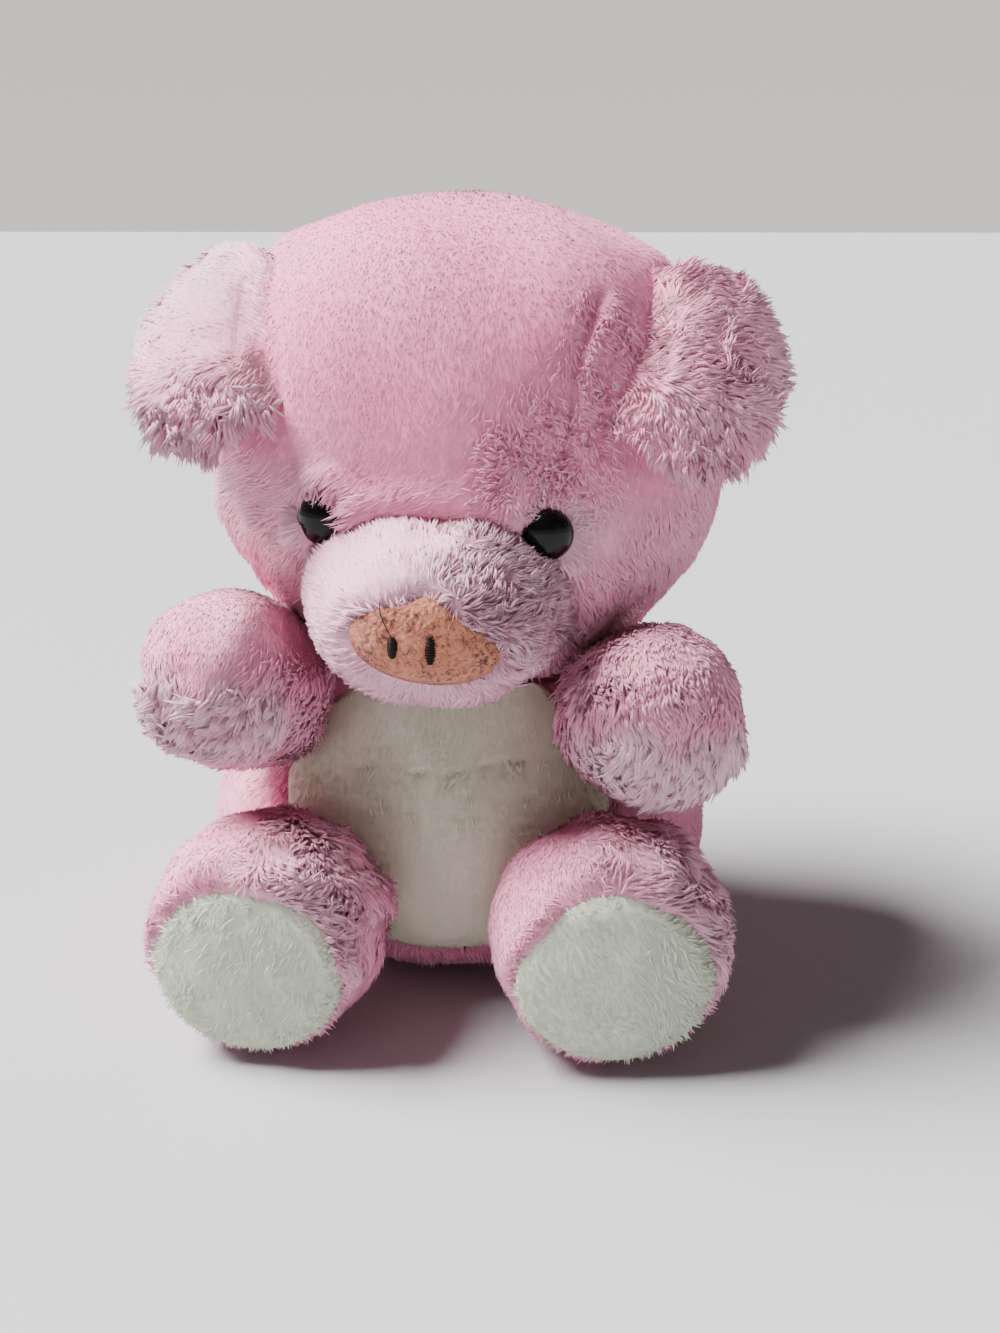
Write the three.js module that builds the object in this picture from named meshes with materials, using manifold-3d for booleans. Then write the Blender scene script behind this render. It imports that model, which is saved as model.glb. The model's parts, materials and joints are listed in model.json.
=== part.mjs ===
// Sitting plush pig: sewn plush shells over stuffing, with a head, ears, arms, legs and tail that give at
// their seams. Millimetres, +Z up, front faces -Y. The origin is on the ground under the middle of the body.
// Left and right are as seen from the front, so left is towards -X.
import * as THREE from "three";
import { mergeVertices } from "three/addons/utils/BufferGeometryUtils.js";
import Module from "manifold-3d";

const wasm = await Module();
wasm.setup();
const degree = Math.PI / 180;

// Cloth, and the gaps between pieces
const skin_wall = 3;
const fit_gap = 0.3;
const swing_gap = 0.5;
const overrun = 40;

// Body
const torso_half_width = 65;
const torso_half_depth = 49;
const torso_height = 96;
const seat_cut = 0.5;
const torso_profile_shares = [
  [0, 0], [0.3, 0], [0.56, 0.004], [0.8, 0.055], [0.95, 0.17], [1, 0.3], [0.95, 0.45],
  [0.83, 0.58], [0.71, 0.69], [0.62, 0.8], [0.55, 0.9], [0.42, 0.98], [0, 1],
];
const belly_half_width = 40;
const belly_bottom = 12;
const belly_top = 92;
const belly_middle_share = 0.5;
const belly_top_share = 0.5;
const pouch_half_width = 38;
const pouch_half_depth = 27;
const pouch_height = 15;

// Head, a ball below where it sits in the neck
const head_half_width = 62;
const head_half_depth = 57;
const head_half_height = 61;
const head_centre_x = 3;
const head_centre_y = 3;
const head_centre_z = 127;
const head_squareness = 2.35;
const neck_ball_radius = 60;
const neck_ball_edge = 52 * degree;
const neck_ball_blend = 34 * degree;
const head_opening_angle = 22 * degree;
const head_tilt = 2.5 * degree;
const head_turn = -3.5 * degree;
const head_turn_limit = 7 * degree;
const head_nod_down = 3 * degree;
const band_thickness = 1.4;
const band_inner_angle = 23 * degree;
const band_outer_angle = 32 * degree;

// Muzzle and snout, measured from the head's centre
const muzzle_half_width = 28;
const muzzle_half_height = 19.5;
const muzzle_half_depth = 30;
const muzzle_y = -48;
const muzzle_z = -27;
const muzzle_squareness = 2.3;
const snout_half_width = 16;
const snout_half_height = 8.6;
const snout_peak = 2.2;
const snout_thickness = 1.2;
const snout_x = 2;
const snout_z = -30;
const snout_tilt = 8 * degree;
const nostril_half_width = 1;
const nostril_half_height = 2.5;
const nostril_depth = 0.9;
const nostril_spacing = 8;
const nostril_middle_x = 0;

// Safety eyes, measured from the head's centre
const eye_x = 25;
const eye_z = -9;
const eye_radius = 5.8;
const eye_height = 4.4;
const eye_rim = 0.8;
const eye_pocket = 0.9;
const shank_radius = 1.6;
const washer_radius = 6.5;
const washer_thickness = 1.5;
const washer_stand_off = 0.7;
const shank_end = 2;

// Ears, sewn to the head along a line measured from the head's centre
const ear_top_x = 46;
const ear_top_z = 44;
const ear_bottom_x = 41;
const ear_bottom_z = 9;
const ear_root_lift = 3;
const ear_spread = 17 * degree;
const ear_width = 29;
const ear_height = 56;
const ear_rise = 3.5;
const ear_half_thickness = 3.4;
const ear_edge_round = 2.2;
const ear_bead_radius = 3.4;
const ear_bead_length = 44;
const ear_swing_out = 45 * degree;
const ear_outline_shares = [
  [0, 0.88], [0.12, 0.98], [0.4, 1.03], [0.66, 0.91], [0.9, 0.79], [1, 0.62], [1, 0.46],
  [1, 0.28], [0.8, 0.12], [0.52, 0.05], [0.3, 0], [0.1, 0.02], [0, 0.12],
];

// Arms
const shoulder_side_angle = 64 * degree;
const shoulder_z = 66;
const shoulder_stand_off = 2;
const shoulder_ball = 12;
const arm_outward = 10 * degree;
const arm_upward = 20 * degree;
const arm_uneven = 5.5 * degree;
const arm_reach = 56;
const arm_radius = 19.8;
const arm_swing_in = 2 * degree;
const arm_swing_out = 35 * degree;
const arm_profile_shares = [
  [-0.1, 0.55], [0, 0.74], [0.11, 0.82], [0.25, 0.9], [0.4, 0.97], [0.55, 1], [0.7, 0.985],
  [0.83, 0.86], [0.93, 0.62], [0.985, 0.3],
];
const arm_core_shares = [
  [0.1, 0.36], [0.22, 0.4], [0.34, 0.6], [0.48, 0.8], [0.62, 0.83], [0.76, 0.74], [0.86, 0.5], [0.9, 0.25],
];

// Legs
const hip_side_angle = 33 * degree;
const hip_z = 26.8;
const hip_stand_off = 3;
const hip_ball = 18;
const leg_outward = 7 * degree;
const leg_reach = 38;
const leg_radius = 26.5;
const leg_swing_in = 4 * degree;
const leg_swing_out = 15 * degree;
const leg_profile_shares = [
  [-0.1, 0.6], [0, 0.78], [0.14, 0.87], [0.32, 0.965], [0.5, 1], [0.68, 0.985], [0.83, 0.93],
  [0.93, 0.84], [0.965, 0.7], [0.99, 0.4],
];
const leg_core_shares = [
  [0.1, 0.42], [0.24, 0.5], [0.38, 0.74], [0.54, 0.85], [0.7, 0.85], [0.82, 0.78], [0.86, 0.5],
];
const sole_radius = 21;
const sole_depth = 5;

// Shared by the four limbs
const root_opening_share = 0.6;
const root_stuffing_share = 0.78;
const flank_clearance = 1.7;
const root_core_share = 0.4;

// Tail
const tail_z = 34;
const tail_radius = 3.2;
const tail_stand_off = 1.5;
const tail_straight = 10;
const tail_curl_radius = 6.5;
const tail_curl_rise = 10;
const tail_curl_turn = 330 * degree;

// How finely round forms are divided
const body_sides = 28;
const limb_sides = 18;
const core_sides = 16;
const inner_sides = 12;
const small_sides = 12;
const head_rings = 14;
const core_rings = 9;
const torso_rings = 12;
const limb_rings = 10;
const ball_rings = 8;
const outline_curve_steps = 5;
const ear_curve_steps = 4;
const band_steps = 2;
const tail_steps = 12;
const tail_sides = 6;

function finish(colour, roughness, metalness = 0) {
  return new THREE.MeshStandardMaterial({ color: colour, roughness, metalness });
}

const pink_plush = () => finish(0xe2b0c6, 0.95);
const pale_plush = () => finish(0xdcbccb, 0.95);
const cream_plush = () => finish(0xcfd1c2, 0.95);
const sole_plush = () => finish(0xd3d9cd, 0.95);
const snout_suede = () => finish(0xcf8f72, 0.85);
const dark_thread = () => finish(0x35201c, 0.6);
const black_gloss = () => finish(0x0b0a0c, 0.12);
const white_plastic = () => finish(0xe6e4dc, 0.5);
const filling = () => finish(0xf1efe8, 1);
const ballast_cloth = () => finish(0xb9b4a6, 0.9);
const seam_tape = () => finish(0xd39ab3, 0.9);

// Solids from geometry, and meshes from solids

function solidOf(geometry) {
  const bare = geometry.clone();
  for (const name of ["normal", "uv"]) {
    bare.deleteAttribute(name);
  }
  const merged = mergeVertices(bare);
  const index = merged.index.array;
  const corners = [];
  for (let i = 0; i < index.length; i += 3) {
    const [a, b, c] = [index[i], index[i + 1], index[i + 2]];
    if (a !== b && b !== c && c !== a) {
      corners.push(a, b, c);
    }
  }
  const vertProperties = new Float32Array(merged.attributes.position.array);
  return new wasm.Manifold(new wasm.Mesh({ numProp: 3, vertProperties, triVerts: new Uint32Array(corners) }));
}

function pieceOf(solid, name, material) {
  const mesh = solid.getMesh();
  const geometry = new THREE.BufferGeometry();
  geometry.setAttribute("position", new THREE.Float32BufferAttribute(mesh.vertProperties, 3));
  geometry.setIndex(new THREE.Uint32BufferAttribute(mesh.triVerts, 1));
  geometry.computeVertexNormals();
  const piece = new THREE.Mesh(geometry, material);
  piece.name = name;
  return piece;
}

// A solid given in the space of one group, carried into the space of another
function carried(solid, from, to) {
  const matrix = new THREE.Matrix4();
  if (from) {
    from.updateWorldMatrix(true, false);
    matrix.copy(from.matrixWorld);
  }
  if (to) {
    to.updateWorldMatrix(true, false);
    matrix.premultiply(to.matrixWorld.clone().invert());
  }
  return solid.transform(matrix.elements);
}

// A round form whose surface lies at reach(direction) from its centre
function roundForm(reach, sides, rings, centre = new THREE.Vector3()) {
  const geometry = new THREE.SphereGeometry(1, sides, rings).rotateX(Math.PI / 2);
  const place = geometry.attributes.position;
  const direction = new THREE.Vector3();
  for (let i = 0; i < place.count; i += 1) {
    direction.fromBufferAttribute(place, i).normalize();
    direction.multiplyScalar(reach(direction)).add(centre);
    place.setXYZ(i, direction.x, direction.y, direction.z);
  }
  return solidOf(mergeVertices(geometry.deleteAttribute("normal").deleteAttribute("uv")));
}

function ball(radius, sides, rings, centre) {
  return roundForm(() => radius, sides, rings, centre);
}

// A form turned about the local Y axis, pointing along -Y, from points of reach and radius
function turnedForward(points, sides) {
  const profile = points.map(([reach, radius]) => new THREE.Vector2(radius, -reach)).reverse();
  return solidOf(new THREE.LatheGeometry(profile, sides));
}

// An upright prism of an outline drawn in X and Z, from y = 0 forward to y = -depth
function prismForward(shape, depth, steps) {
  const geometry = new THREE.ExtrudeGeometry(shape, { depth, bevelEnabled: false, curveSegments: steps });
  return solidOf(geometry.rotateX(Math.PI / 2));
}

// Body form

const torso_curve = new THREE.SplineCurve(
  torso_profile_shares.map(([wide, high]) => new THREE.Vector2(wide, high)),
);

function torsoOutline(inset) {
  const tall = torso_height + seat_cut;
  const middle = torso_half_width;
  return torso_curve.getPoints(torso_rings).map((share, i, all) => {
    const ends = i === 0 || i === all.length - 1;
    const wide = ends ? 0 : share.x * (middle - inset);
    const high = -seat_cut + inset + share.y * (tall - inset);
    return new THREE.Vector2(wide, high);
  });
}

function torsoForm(inset, sides) {
  const geometry = new THREE.LatheGeometry(torsoOutline(inset), sides).rotateX(Math.PI / 2);
  const depth_share = (torso_half_depth - inset) / (torso_half_width - inset);
  return solidOf(geometry.scale(1, depth_share, 1));
}

function torsoWidthAt(height) {
  const outline = torsoOutline(0);
  const above = outline.findIndex((point, i) => i > 0 && point.y >= height);
  const [low, high] = [outline[above - 1], outline[above]];
  return low.x + (high.x - low.x) * ((height - low.y) / (high.y - low.y));
}

// A point beside the body's surface, at an angle from the front, and the surface's outward direction there
function besideTorso(side_angle, height, stand_off, side) {
  const depth_share = torso_half_depth / torso_half_width;
  const wide = torsoWidthAt(height);
  const point = new THREE.Vector3(
    side * wide * Math.sin(side_angle), -wide * depth_share * Math.cos(side_angle), height,
  );
  const rise = torso_height / torso_rings;
  const taper = (torsoWidthAt(height - rise) - torsoWidthAt(height + rise)) / (rise + rise);
  const outward = new THREE.Vector3(
    side * Math.sin(side_angle), -Math.cos(side_angle) / depth_share, taper,
  ).normalize();
  return { centre: point.addScaledVector(outward, stand_off), outward };
}

// Head form

function squareReach(direction, half_sizes, squareness) {
  const sum = ["x", "y", "z"].reduce(
    (total, axis) => total + Math.abs(direction[axis] / half_sizes[axis]) ** squareness, 0,
  );
  return sum ** (-1 / squareness);
}

const head_half_sizes = new THREE.Vector3(head_half_width, head_half_depth, head_half_height);

function headReach(direction) {
  const from_below = Math.acos(THREE.MathUtils.clamp(-direction.z, -1, 1));
  const blend = THREE.MathUtils.smoothstep(from_below, neck_ball_edge, neck_ball_edge + neck_ball_blend);
  return THREE.MathUtils.lerp(
    neck_ball_radius, squareReach(direction, head_half_sizes, head_squareness), blend,
  );
}

function headForm(grow, sides, rings) {
  return roundForm((direction) => headReach(direction) + grow, sides, rings);
}

// Where the head's surface lies above a point of the face, and the direction it faces there
function onHead(x, z, grow = 0) {
  const spread = ((Math.abs(x) / head_half_width) ** head_squareness)
    + ((Math.abs(z) / head_half_height) ** head_squareness);
  const left = Math.max(0, 1 - spread);
  const point = new THREE.Vector3(x, -head_half_depth * left ** (1 / head_squareness), z);
  return point.setLength(headReach(point.clone().normalize()) + grow);
}

function headOutward(point) {
  return new THREE.Vector3(...["x", "y", "z"].map(
    (axis) => Math.sign(point[axis]) * Math.abs(point[axis]) ** (head_squareness - 1)
      / head_half_sizes[axis] ** head_squareness,
  )).normalize();
}

function muzzleForm(grow) {
  const half_sizes = new THREE.Vector3(
    muzzle_half_width + grow, muzzle_half_depth + grow, muzzle_half_height + grow,
  );
  const centre = new THREE.Vector3(0, muzzle_y, muzzle_z);
  return roundForm(
    (direction) => squareReach(direction, half_sizes, muzzle_squareness), limb_sides, limb_rings, centre,
  );
}

const pig = new THREE.Group();

const head = new THREE.Group();
head.position.set(head_centre_x, head_centre_y, head_centre_z);
head.rotation.set(0, head_tilt, head_turn);
pig.add(head);

const neck = new THREE.Group();
neck.position.copy(head.position);
pig.add(neck);

// Limbs: where each one hangs on the body

function limbGroup(side_angle, height, stand_off, outward_turn, upward_turn, side) {
  const root = besideTorso(side_angle, height, stand_off, side);
  const group = new THREE.Group();
  group.rotation.order = "ZXY";
  group.position.copy(root.centre);
  group.rotation.set(-upward_turn, 0, side * outward_turn);
  pig.add(group);
  return { group, side, stand_off, outward: root.outward };
}

// What stands still, in the body's space, as a limb sees it once the limb has swung outward by an angle
function seenFrom(limb, solid, swing) {
  const centre = limb.group.position.toArray();
  const turned = solid.translate(centre.map((value) => -value)).rotate([0, 0, (-limb.side * swing) / degree]);
  return carried(turned.translate(centre), null, limb.group);
}

// The half space that the body fills beside a limb
function bodySide(limb) {
  const block = new THREE.BoxGeometry(torso_height, torso_height, torso_height);
  block.translate(0, 0, flank_clearance - limb.stand_off - torso_height / 2);
  block.applyQuaternion(new THREE.Quaternion().setFromUnitVectors(new THREE.Vector3(0, 0, 1), limb.outward));
  return solidOf(block).translate(limb.group.position.toArray());
}

// The muzzle's room when the head has turned and nodded, in the body's space
function muzzleSwept(turn, nod, grow) {
  const muzzle = carried(muzzleForm(grow), head, neck);
  return carried(muzzle.rotate([nod / degree, 0, turn / degree]), neck, null);
}

function limbSolids(limb, sizes) {
  const { reach, radius, root_ball, profile_shares, core_shares, swing_in, swing_out } = sizes;
  const scaled = (shares, grow) => shares.map(([along, wide]) => [along * reach, wide * radius + grow]);
  const closed = (points, first, last) => [[first, 0], ...points, [last, 0]];

  const outside = scaled(profile_shares, 0);
  let fat = turnedForward(closed(outside, outside[0][0], reach), limb_sides);
  for (const swing of [-swing_in, 0, swing_out / 2, swing_out]) {
    fat = fat.subtract(seenFrom(limb, bodySide(limb), swing));
  }
  // The dent that the muzzle of the turned, nodding head needs in a limb that has swung in
  const dented = (solid, grow) => {
    let left = solid;
    for (const nod of sizes.meets_head ? [0, head_nod_down] : []) {
      const muzzle = muzzleSwept(limb.side * head_turn_limit, nod, swing_gap + grow);
      left = left.subtract(seenFrom(limb, muzzle, -swing_in));
    }
    return left;
  };
  if (sizes.meets_head) {
    const head_clear = ball(head_half_width + swing_gap, body_sides, head_rings, head.position);
    fat = dented(fat.subtract(seenFrom(limb, head_clear, 0)), 0);
  }
  const whole = fat.add(ball(root_ball, limb_sides, ball_rings));

  // The inside reaches from the seam opening at the back of the root ball to near the tip
  const throat = root_ball * root_core_share;
  const mouth = root_ball * root_opening_share;
  const inside = (gap, back) => {
    const core = scaled(core_shares, -gap);
    const last = core[core.length - 1][0] + skin_wall - gap;
    const back_points = [[-back, mouth - gap], [-mouth, mouth - gap], [0, throat - gap]];
    return turnedForward(closed([...back_points, ...core], -back, last), inner_sides);
  };
  const skin = whole.subtract(dented(inside(0, root_ball + overrun), skin_wall));
  const stuffing = dented(inside(fit_gap, root_ball * root_stuffing_share), skin_wall + fit_gap);
  return { skin, stuffing };
}

function addLimb(kind, limb, sizes, skin_material) {
  const side_name = limb.side < 0 ? "left" : "right";
  const { skin, stuffing } = limbSolids(limb, sizes);
  if (sizes.sole) {
    const face = sizes.reach - sizes.sole.depth;
    const cut = (gap) => turnedForward(
      [[face - gap, 0], [face - gap, sizes.sole.radius + gap], [overrun + face, sizes.sole.radius + gap],
        [overrun + face, 0]],
      limb_sides,
    );
    limb.group.add(pieceOf(skin.intersect(cut(0)), `sole_${side_name}`, sole_plush()));
    limb.group.add(pieceOf(skin.subtract(cut(fit_gap)), `${kind}_skin_${side_name}`, skin_material));
  } else {
    limb.group.add(pieceOf(skin, `${kind}_skin_${side_name}`, skin_material));
  }
  limb.group.add(pieceOf(stuffing, `${kind}_stuffing_${side_name}`, filling()));
}

const arm_sizes = {
  reach: arm_reach,
  radius: arm_radius,
  root_ball: shoulder_ball,
  profile_shares: arm_profile_shares,
  core_shares: arm_core_shares,
  swing_in: arm_swing_in,
  swing_out: arm_swing_out,
  meets_head: true,
};
const leg_sizes = {
  reach: leg_reach,
  radius: leg_radius,
  root_ball: hip_ball,
  profile_shares: leg_profile_shares,
  core_shares: leg_core_shares,
  swing_in: leg_swing_in,
  swing_out: leg_swing_out,
  sole: { radius: sole_radius, depth: sole_depth },
};
const limbs = [];
for (const side of [-1, 1]) {
  const raised = arm_upward - side * arm_uneven;
  const arm = limbGroup(shoulder_side_angle, shoulder_z, shoulder_stand_off, arm_outward, raised, side);
  addLimb("arm", arm, arm_sizes, pink_plush());
  limbs.push({ ...arm, root_ball: shoulder_ball });
  const leg = limbGroup(hip_side_angle, hip_z, hip_stand_off, leg_outward, 0, side);
  addLimb("leg", leg, leg_sizes, pink_plush());
  limbs.push({ ...leg, root_ball: hip_ball });
}

const tail = new THREE.Group();
tail.position.copy(besideTorso(Math.PI, tail_z, tail_stand_off, 1).centre);
pig.add(tail);

// Body: a shell with a seat, a neck rim and sockets, the belly panel let into it, and its filling

function bellyOutline(grow) {
  const half_wide = belly_half_width + grow;
  const [low, high] = [belly_bottom - grow, belly_top + grow];
  const middle = low + (high - low) * belly_middle_share;
  const shape = new THREE.Shape();
  shape.moveTo(0, low);
  const bend = low + (middle - low) / 3;
  shape.bezierCurveTo(half_wide * belly_top_share, low, half_wide, bend, half_wide, middle);
  shape.lineTo(half_wide * belly_top_share, high);
  shape.lineTo(-half_wide * belly_top_share, high);
  shape.lineTo(-half_wide, middle);
  shape.bezierCurveTo(-half_wide, bend, -half_wide * belly_top_share, low, 0, low);
  return shape;
}

function bellyPrism(grow) {
  return prismForward(bellyOutline(grow), torso_half_depth + overrun, outline_curve_steps);
}

function cutSeat(solid) {
  const wide = torso_half_width + overrun;
  const block = new THREE.BoxGeometry(wide + wide, wide + wide, overrun).translate(0, 0, -overrun / 2);
  return solid.subtract(solidOf(block));
}

const seat_radius = neck_ball_radius + swing_gap + band_thickness + swing_gap;
let torso_shell = cutSeat(torsoForm(0, body_sides));
torso_shell = torso_shell.subtract(torsoForm(skin_wall, core_sides));
torso_shell = torso_shell.subtract(ball(seat_radius, body_sides, head_rings, head.position));
let torso_core = torsoForm(skin_wall + fit_gap, core_sides);
torso_core = torso_core.subtract(ball(seat_radius + skin_wall, core_sides, core_rings, head.position));
for (const limb of limbs) {
  const socket = ball(limb.root_ball + swing_gap, limb_sides, ball_rings, limb.group.position);
  torso_shell = torso_shell.subtract(socket);
  torso_core = torso_core.subtract(
    ball(limb.root_ball + swing_gap + skin_wall, inner_sides, ball_rings, limb.group.position),
  );
}
torso_shell = torso_shell.subtract(ball(tail_radius + swing_gap, small_sides, ball_rings, tail.position));
const pouchReach = (grow) => (direction) => squareReach(
  direction,
  new THREE.Vector3(pouch_half_width + grow, pouch_half_depth + grow, pouch_height / 2 + grow),
  head_squareness,
);
const pouch_centre = new THREE.Vector3(0, 0, skin_wall - seat_cut + fit_gap + pouch_height / 2);
const pouch = roundForm(pouchReach(0), inner_sides, ball_rings, pouch_centre);
const pouch_room = roundForm(pouchReach(fit_gap), inner_sides, ball_rings, pouch_centre)
  .add(solidOf(new THREE.CylinderGeometry(pouch_height, pouch_height, pouch_height, inner_sides)
    .rotateX(Math.PI / 2).translate(0, 0, skin_wall)));
pig.add(pieceOf(torso_shell.subtract(bellyPrism(fit_gap)), "torso_skin", pink_plush()));
pig.add(pieceOf(torso_shell.intersect(bellyPrism(0)), "belly_panel", cream_plush()));
pig.add(pieceOf(torso_core.subtract(pouch_room), "torso_stuffing", filling()));
pig.add(pieceOf(pouch, "pellet_pouch", ballast_cloth()));

// Neck: a ring of seam allowance between the head's ball and the body's rim

function addNeckBand() {
  const inner = neck_ball_radius + swing_gap;
  const outer = inner + band_thickness;
  const arc = (radius, from, to) => {
    return Array.from({ length: band_steps + 1 }, (_, i) => {
      const angle = from + (to - from) * (i / band_steps);
      return new THREE.Vector2(radius * Math.sin(angle), -radius * Math.cos(angle));
    });
  };
  const profile = [
    ...arc(inner, band_outer_angle, band_inner_angle),
    ...arc(outer, band_inner_angle, band_outer_angle),
  ];
  profile.push(profile[0].clone());
  const band = new THREE.LatheGeometry(profile, body_sides).rotateX(Math.PI / 2);
  neck.add(pieceOf(solidOf(band), "neck_seam_band", seam_tape()));
}
addNeckBand();

// Head: shell and filling, with room for the eyes' shanks and washers

function coneBelow(angle, reach) {
  const cone = new THREE.ConeGeometry(reach * Math.tan(angle), reach, body_sides);
  return solidOf(cone.rotateX(Math.PI / 2).translate(0, 0, -reach / 2));
}

function addEye(side) {
  const side_name = side < 0 ? "left" : "right";
  const seat = onHead(side * eye_x, eye_z);
  const eye = new THREE.Group();
  eye.position.copy(seat);
  eye.quaternion.setFromUnitVectors(new THREE.Vector3(0, -1, 0), headOutward(seat));
  head.add(eye);

  const back = fit_gap - eye_pocket;
  const dome_steps = small_sides / 2;
  const dome = Array.from({ length: dome_steps }, (_, i) => {
    const angle = (i / dome_steps) * (Math.PI / 2);
    return [back + eye_rim + eye_height * Math.sin(angle), eye_radius * Math.cos(angle)];
  });
  const washer_front = -(skin_wall + washer_stand_off);
  const washer_back = washer_front - washer_thickness;
  const shank_back = washer_back - shank_end;
  const shank = [[shank_back, 0], [shank_back, shank_radius], [back, shank_radius], [back, eye_radius]];
  const eye_solid = turnedForward([...shank, ...dome, [back + eye_rim + eye_height, 0]], small_sides);
  eye.add(pieceOf(eye_solid, `eye_${side_name}`, black_gloss()));

  const disc = (from, to, radius) => turnedForward(
    [[from, 0], [from, radius], [to, radius], [to, 0]], small_sides,
  );
  const bore = disc(shank_back, overrun, shank_radius + fit_gap);
  const washer = disc(washer_back, washer_front, washer_radius).subtract(bore);
  eye.add(pieceOf(washer, `eye_washer_${side_name}`, white_plastic()));

  const pocket = disc(-eye_pocket, overrun, eye_radius + fit_gap).add(bore)
    .add(disc(shank_back, washer_front + fit_gap, washer_radius + fit_gap));
  const room = disc(shank_back - fit_gap, overrun, washer_radius + fit_gap);
  return { pocket: carried(pocket, eye, head), room: carried(room, eye, head) };
}

let head_shell = headForm(0, body_sides, head_rings);
head_shell = head_shell.subtract(headForm(-skin_wall, core_sides, core_rings));
head_shell = head_shell.subtract(coneBelow(head_opening_angle, neck_ball_radius + overrun));
let head_core = headForm(-skin_wall - fit_gap, core_sides, core_rings);
for (const side of [-1, 1]) {
  const { pocket, room } = addEye(side);
  head_shell = head_shell.subtract(pocket);
  head_core = head_core.subtract(room);
}
head.add(pieceOf(head_shell, "head_skin", pink_plush()));
head.add(pieceOf(head_core, "head_stuffing", filling()));

// Muzzle: a dome sewn on the face, its filling, the snout patch on its front and two stitched nostrils

function muzzleFrontAt(x, z) {
  const spread = (Math.abs(x) / muzzle_half_width) ** muzzle_squareness
    + (Math.abs(z - muzzle_z) / muzzle_half_height) ** muzzle_squareness;
  return muzzle_y - muzzle_half_depth * (1 - spread) ** (1 / muzzle_squareness);
}

function snoutOutline() {
  const shape = new THREE.Shape();
  const [wide, high] = [snout_half_width, snout_half_height];
  const pull = (4 / 3) * Math.tan(Math.PI / 8);
  shape.moveTo(0, -high);
  shape.bezierCurveTo(wide * pull, -high, wide, -high * pull, wide, 0);
  shape.bezierCurveTo(wide, high * pull, wide / 2, high, 0, high + snout_peak);
  shape.bezierCurveTo(-wide / 2, high, -wide, high * pull, -wide, 0);
  shape.bezierCurveTo(-wide, -high * pull, -wide * pull, -high, 0, -high);
  return shape;
}

const off_head = headForm(fit_gap, body_sides, head_rings);
const muzzle_core = muzzleForm(-skin_wall);
head.add(pieceOf(muzzleForm(0).subtract(muzzle_core).subtract(off_head), "muzzle_panel", pale_plush()));
head.add(pieceOf(muzzleForm(-skin_wall - fit_gap).subtract(off_head), "muzzle_stuffing", filling()));

const patch_front = fit_gap + snout_thickness;
const snout_prism = prismForward(snoutOutline(), head_half_depth + overrun, outline_curve_steps)
  .rotate([0, snout_tilt / degree, 0])
  .translate([snout_x, muzzle_y, snout_z]);
const snout = snout_prism.intersect(muzzleForm(patch_front)).subtract(muzzleForm(fit_gap));
head.add(pieceOf(snout, "snout_patch", snout_suede()));
for (const side of [-1, 1]) {
  const x = nostril_middle_x + (side * nostril_spacing) / 2;
  const centre = new THREE.Vector3(x, muzzleFrontAt(x, snout_z) - patch_front, snout_z);
  const half_sizes = new THREE.Vector3(nostril_half_width, fit_gap + nostril_depth, nostril_half_height);
  const stitches = roundForm(
    (direction) => squareReach(direction, half_sizes, 2), small_sides, ball_rings, centre,
  ).subtract(muzzleForm(patch_front + fit_gap));
  head.add(pieceOf(stitches, `nostril_${side < 0 ? "left" : "right"}`, dark_thread()));
}

// Ears: two panels each, rounded along the outline, hinged on a bead along the seam with the head

function earOutline(side) {
  const points = ear_outline_shares.map(
    ([across, high]) => [side * across * ear_width, (high - 0.5) * ear_height + ear_rise],
  );
  const shape = new THREE.Shape();
  shape.moveTo(...points[0]);
  for (let i = 1; i < points.length; i += 3) {
    shape.bezierCurveTo(...points[i], ...points[i + 1], ...points[i + 2]);
  }
  return shape;
}

// The ear's space: Z runs up the seam, X across the ear and Y square to its face, towards the head
function earGroup(side) {
  const top = onHead(side * ear_top_x, ear_top_z);
  const bottom = onHead(side * ear_bottom_x, ear_bottom_z);
  const middle = onHead((top.x + bottom.x) / 2, (top.z + bottom.z) / 2);
  const up = top.clone().sub(bottom).normalize();
  const off = headOutward(middle);
  off.addScaledVector(up, -off.dot(up)).normalize();
  const along = new THREE.Vector3().crossVectors(up, off).multiplyScalar(side);
  const across = along.multiplyScalar(Math.cos(ear_spread)).addScaledVector(off, Math.sin(ear_spread));
  across.multiplyScalar(side);
  const facing = new THREE.Vector3().crossVectors(up, across);
  const ear = new THREE.Group();
  ear.position.copy(middle).addScaledVector(off, ear_root_lift);
  ear.quaternion.setFromRotationMatrix(new THREE.Matrix4().makeBasis(across, facing, up));
  head.add(ear);
  return ear;
}

function addEar(side) {
  const side_name = side < 0 ? "left" : "right";
  const ear = earGroup(side);
  const depth = 2 * (ear_half_thickness - ear_edge_round);
  const flap = new THREE.ExtrudeGeometry(earOutline(side), {
    depth, bevelThickness: ear_edge_round, bevelSize: ear_edge_round, bevelOffset: -ear_edge_round,
    bevelSegments: 2, curveSegments: ear_curve_steps,
  });
  const bead = new THREE.CylinderGeometry(ear_bead_radius, ear_bead_radius, ear_bead_length, small_sides);
  flap.translate(0, 0, -depth / 2).rotateX(Math.PI / 2);
  let whole = solidOf(flap).add(solidOf(bead.rotateX(Math.PI / 2)));
  const clear = carried(headForm(swing_gap, body_sides, head_rings), head, ear);
  for (const share of [0, 1 / 3, 2 / 3, 1]) {
    whole = whole.subtract(clear.rotate([0, 0, (side * share * ear_swing_out) / degree]));
  }
  const wide = ear_height + ear_width;
  for (const face of [-1, 1]) {
    const half = new THREE.BoxGeometry(wide, wide, wide).translate(0, (face * (wide + fit_gap)) / 2, 0);
    ear.add(pieceOf(
      whole.intersect(solidOf(half)), `ear_${side_name}_${face < 0 ? "front" : "back"}`, pink_plush(),
    ));
  }
}
for (const side of [-1, 1]) {
  addEar(side);
}

// Tail: a short sewn tube at the back that curls once

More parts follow.
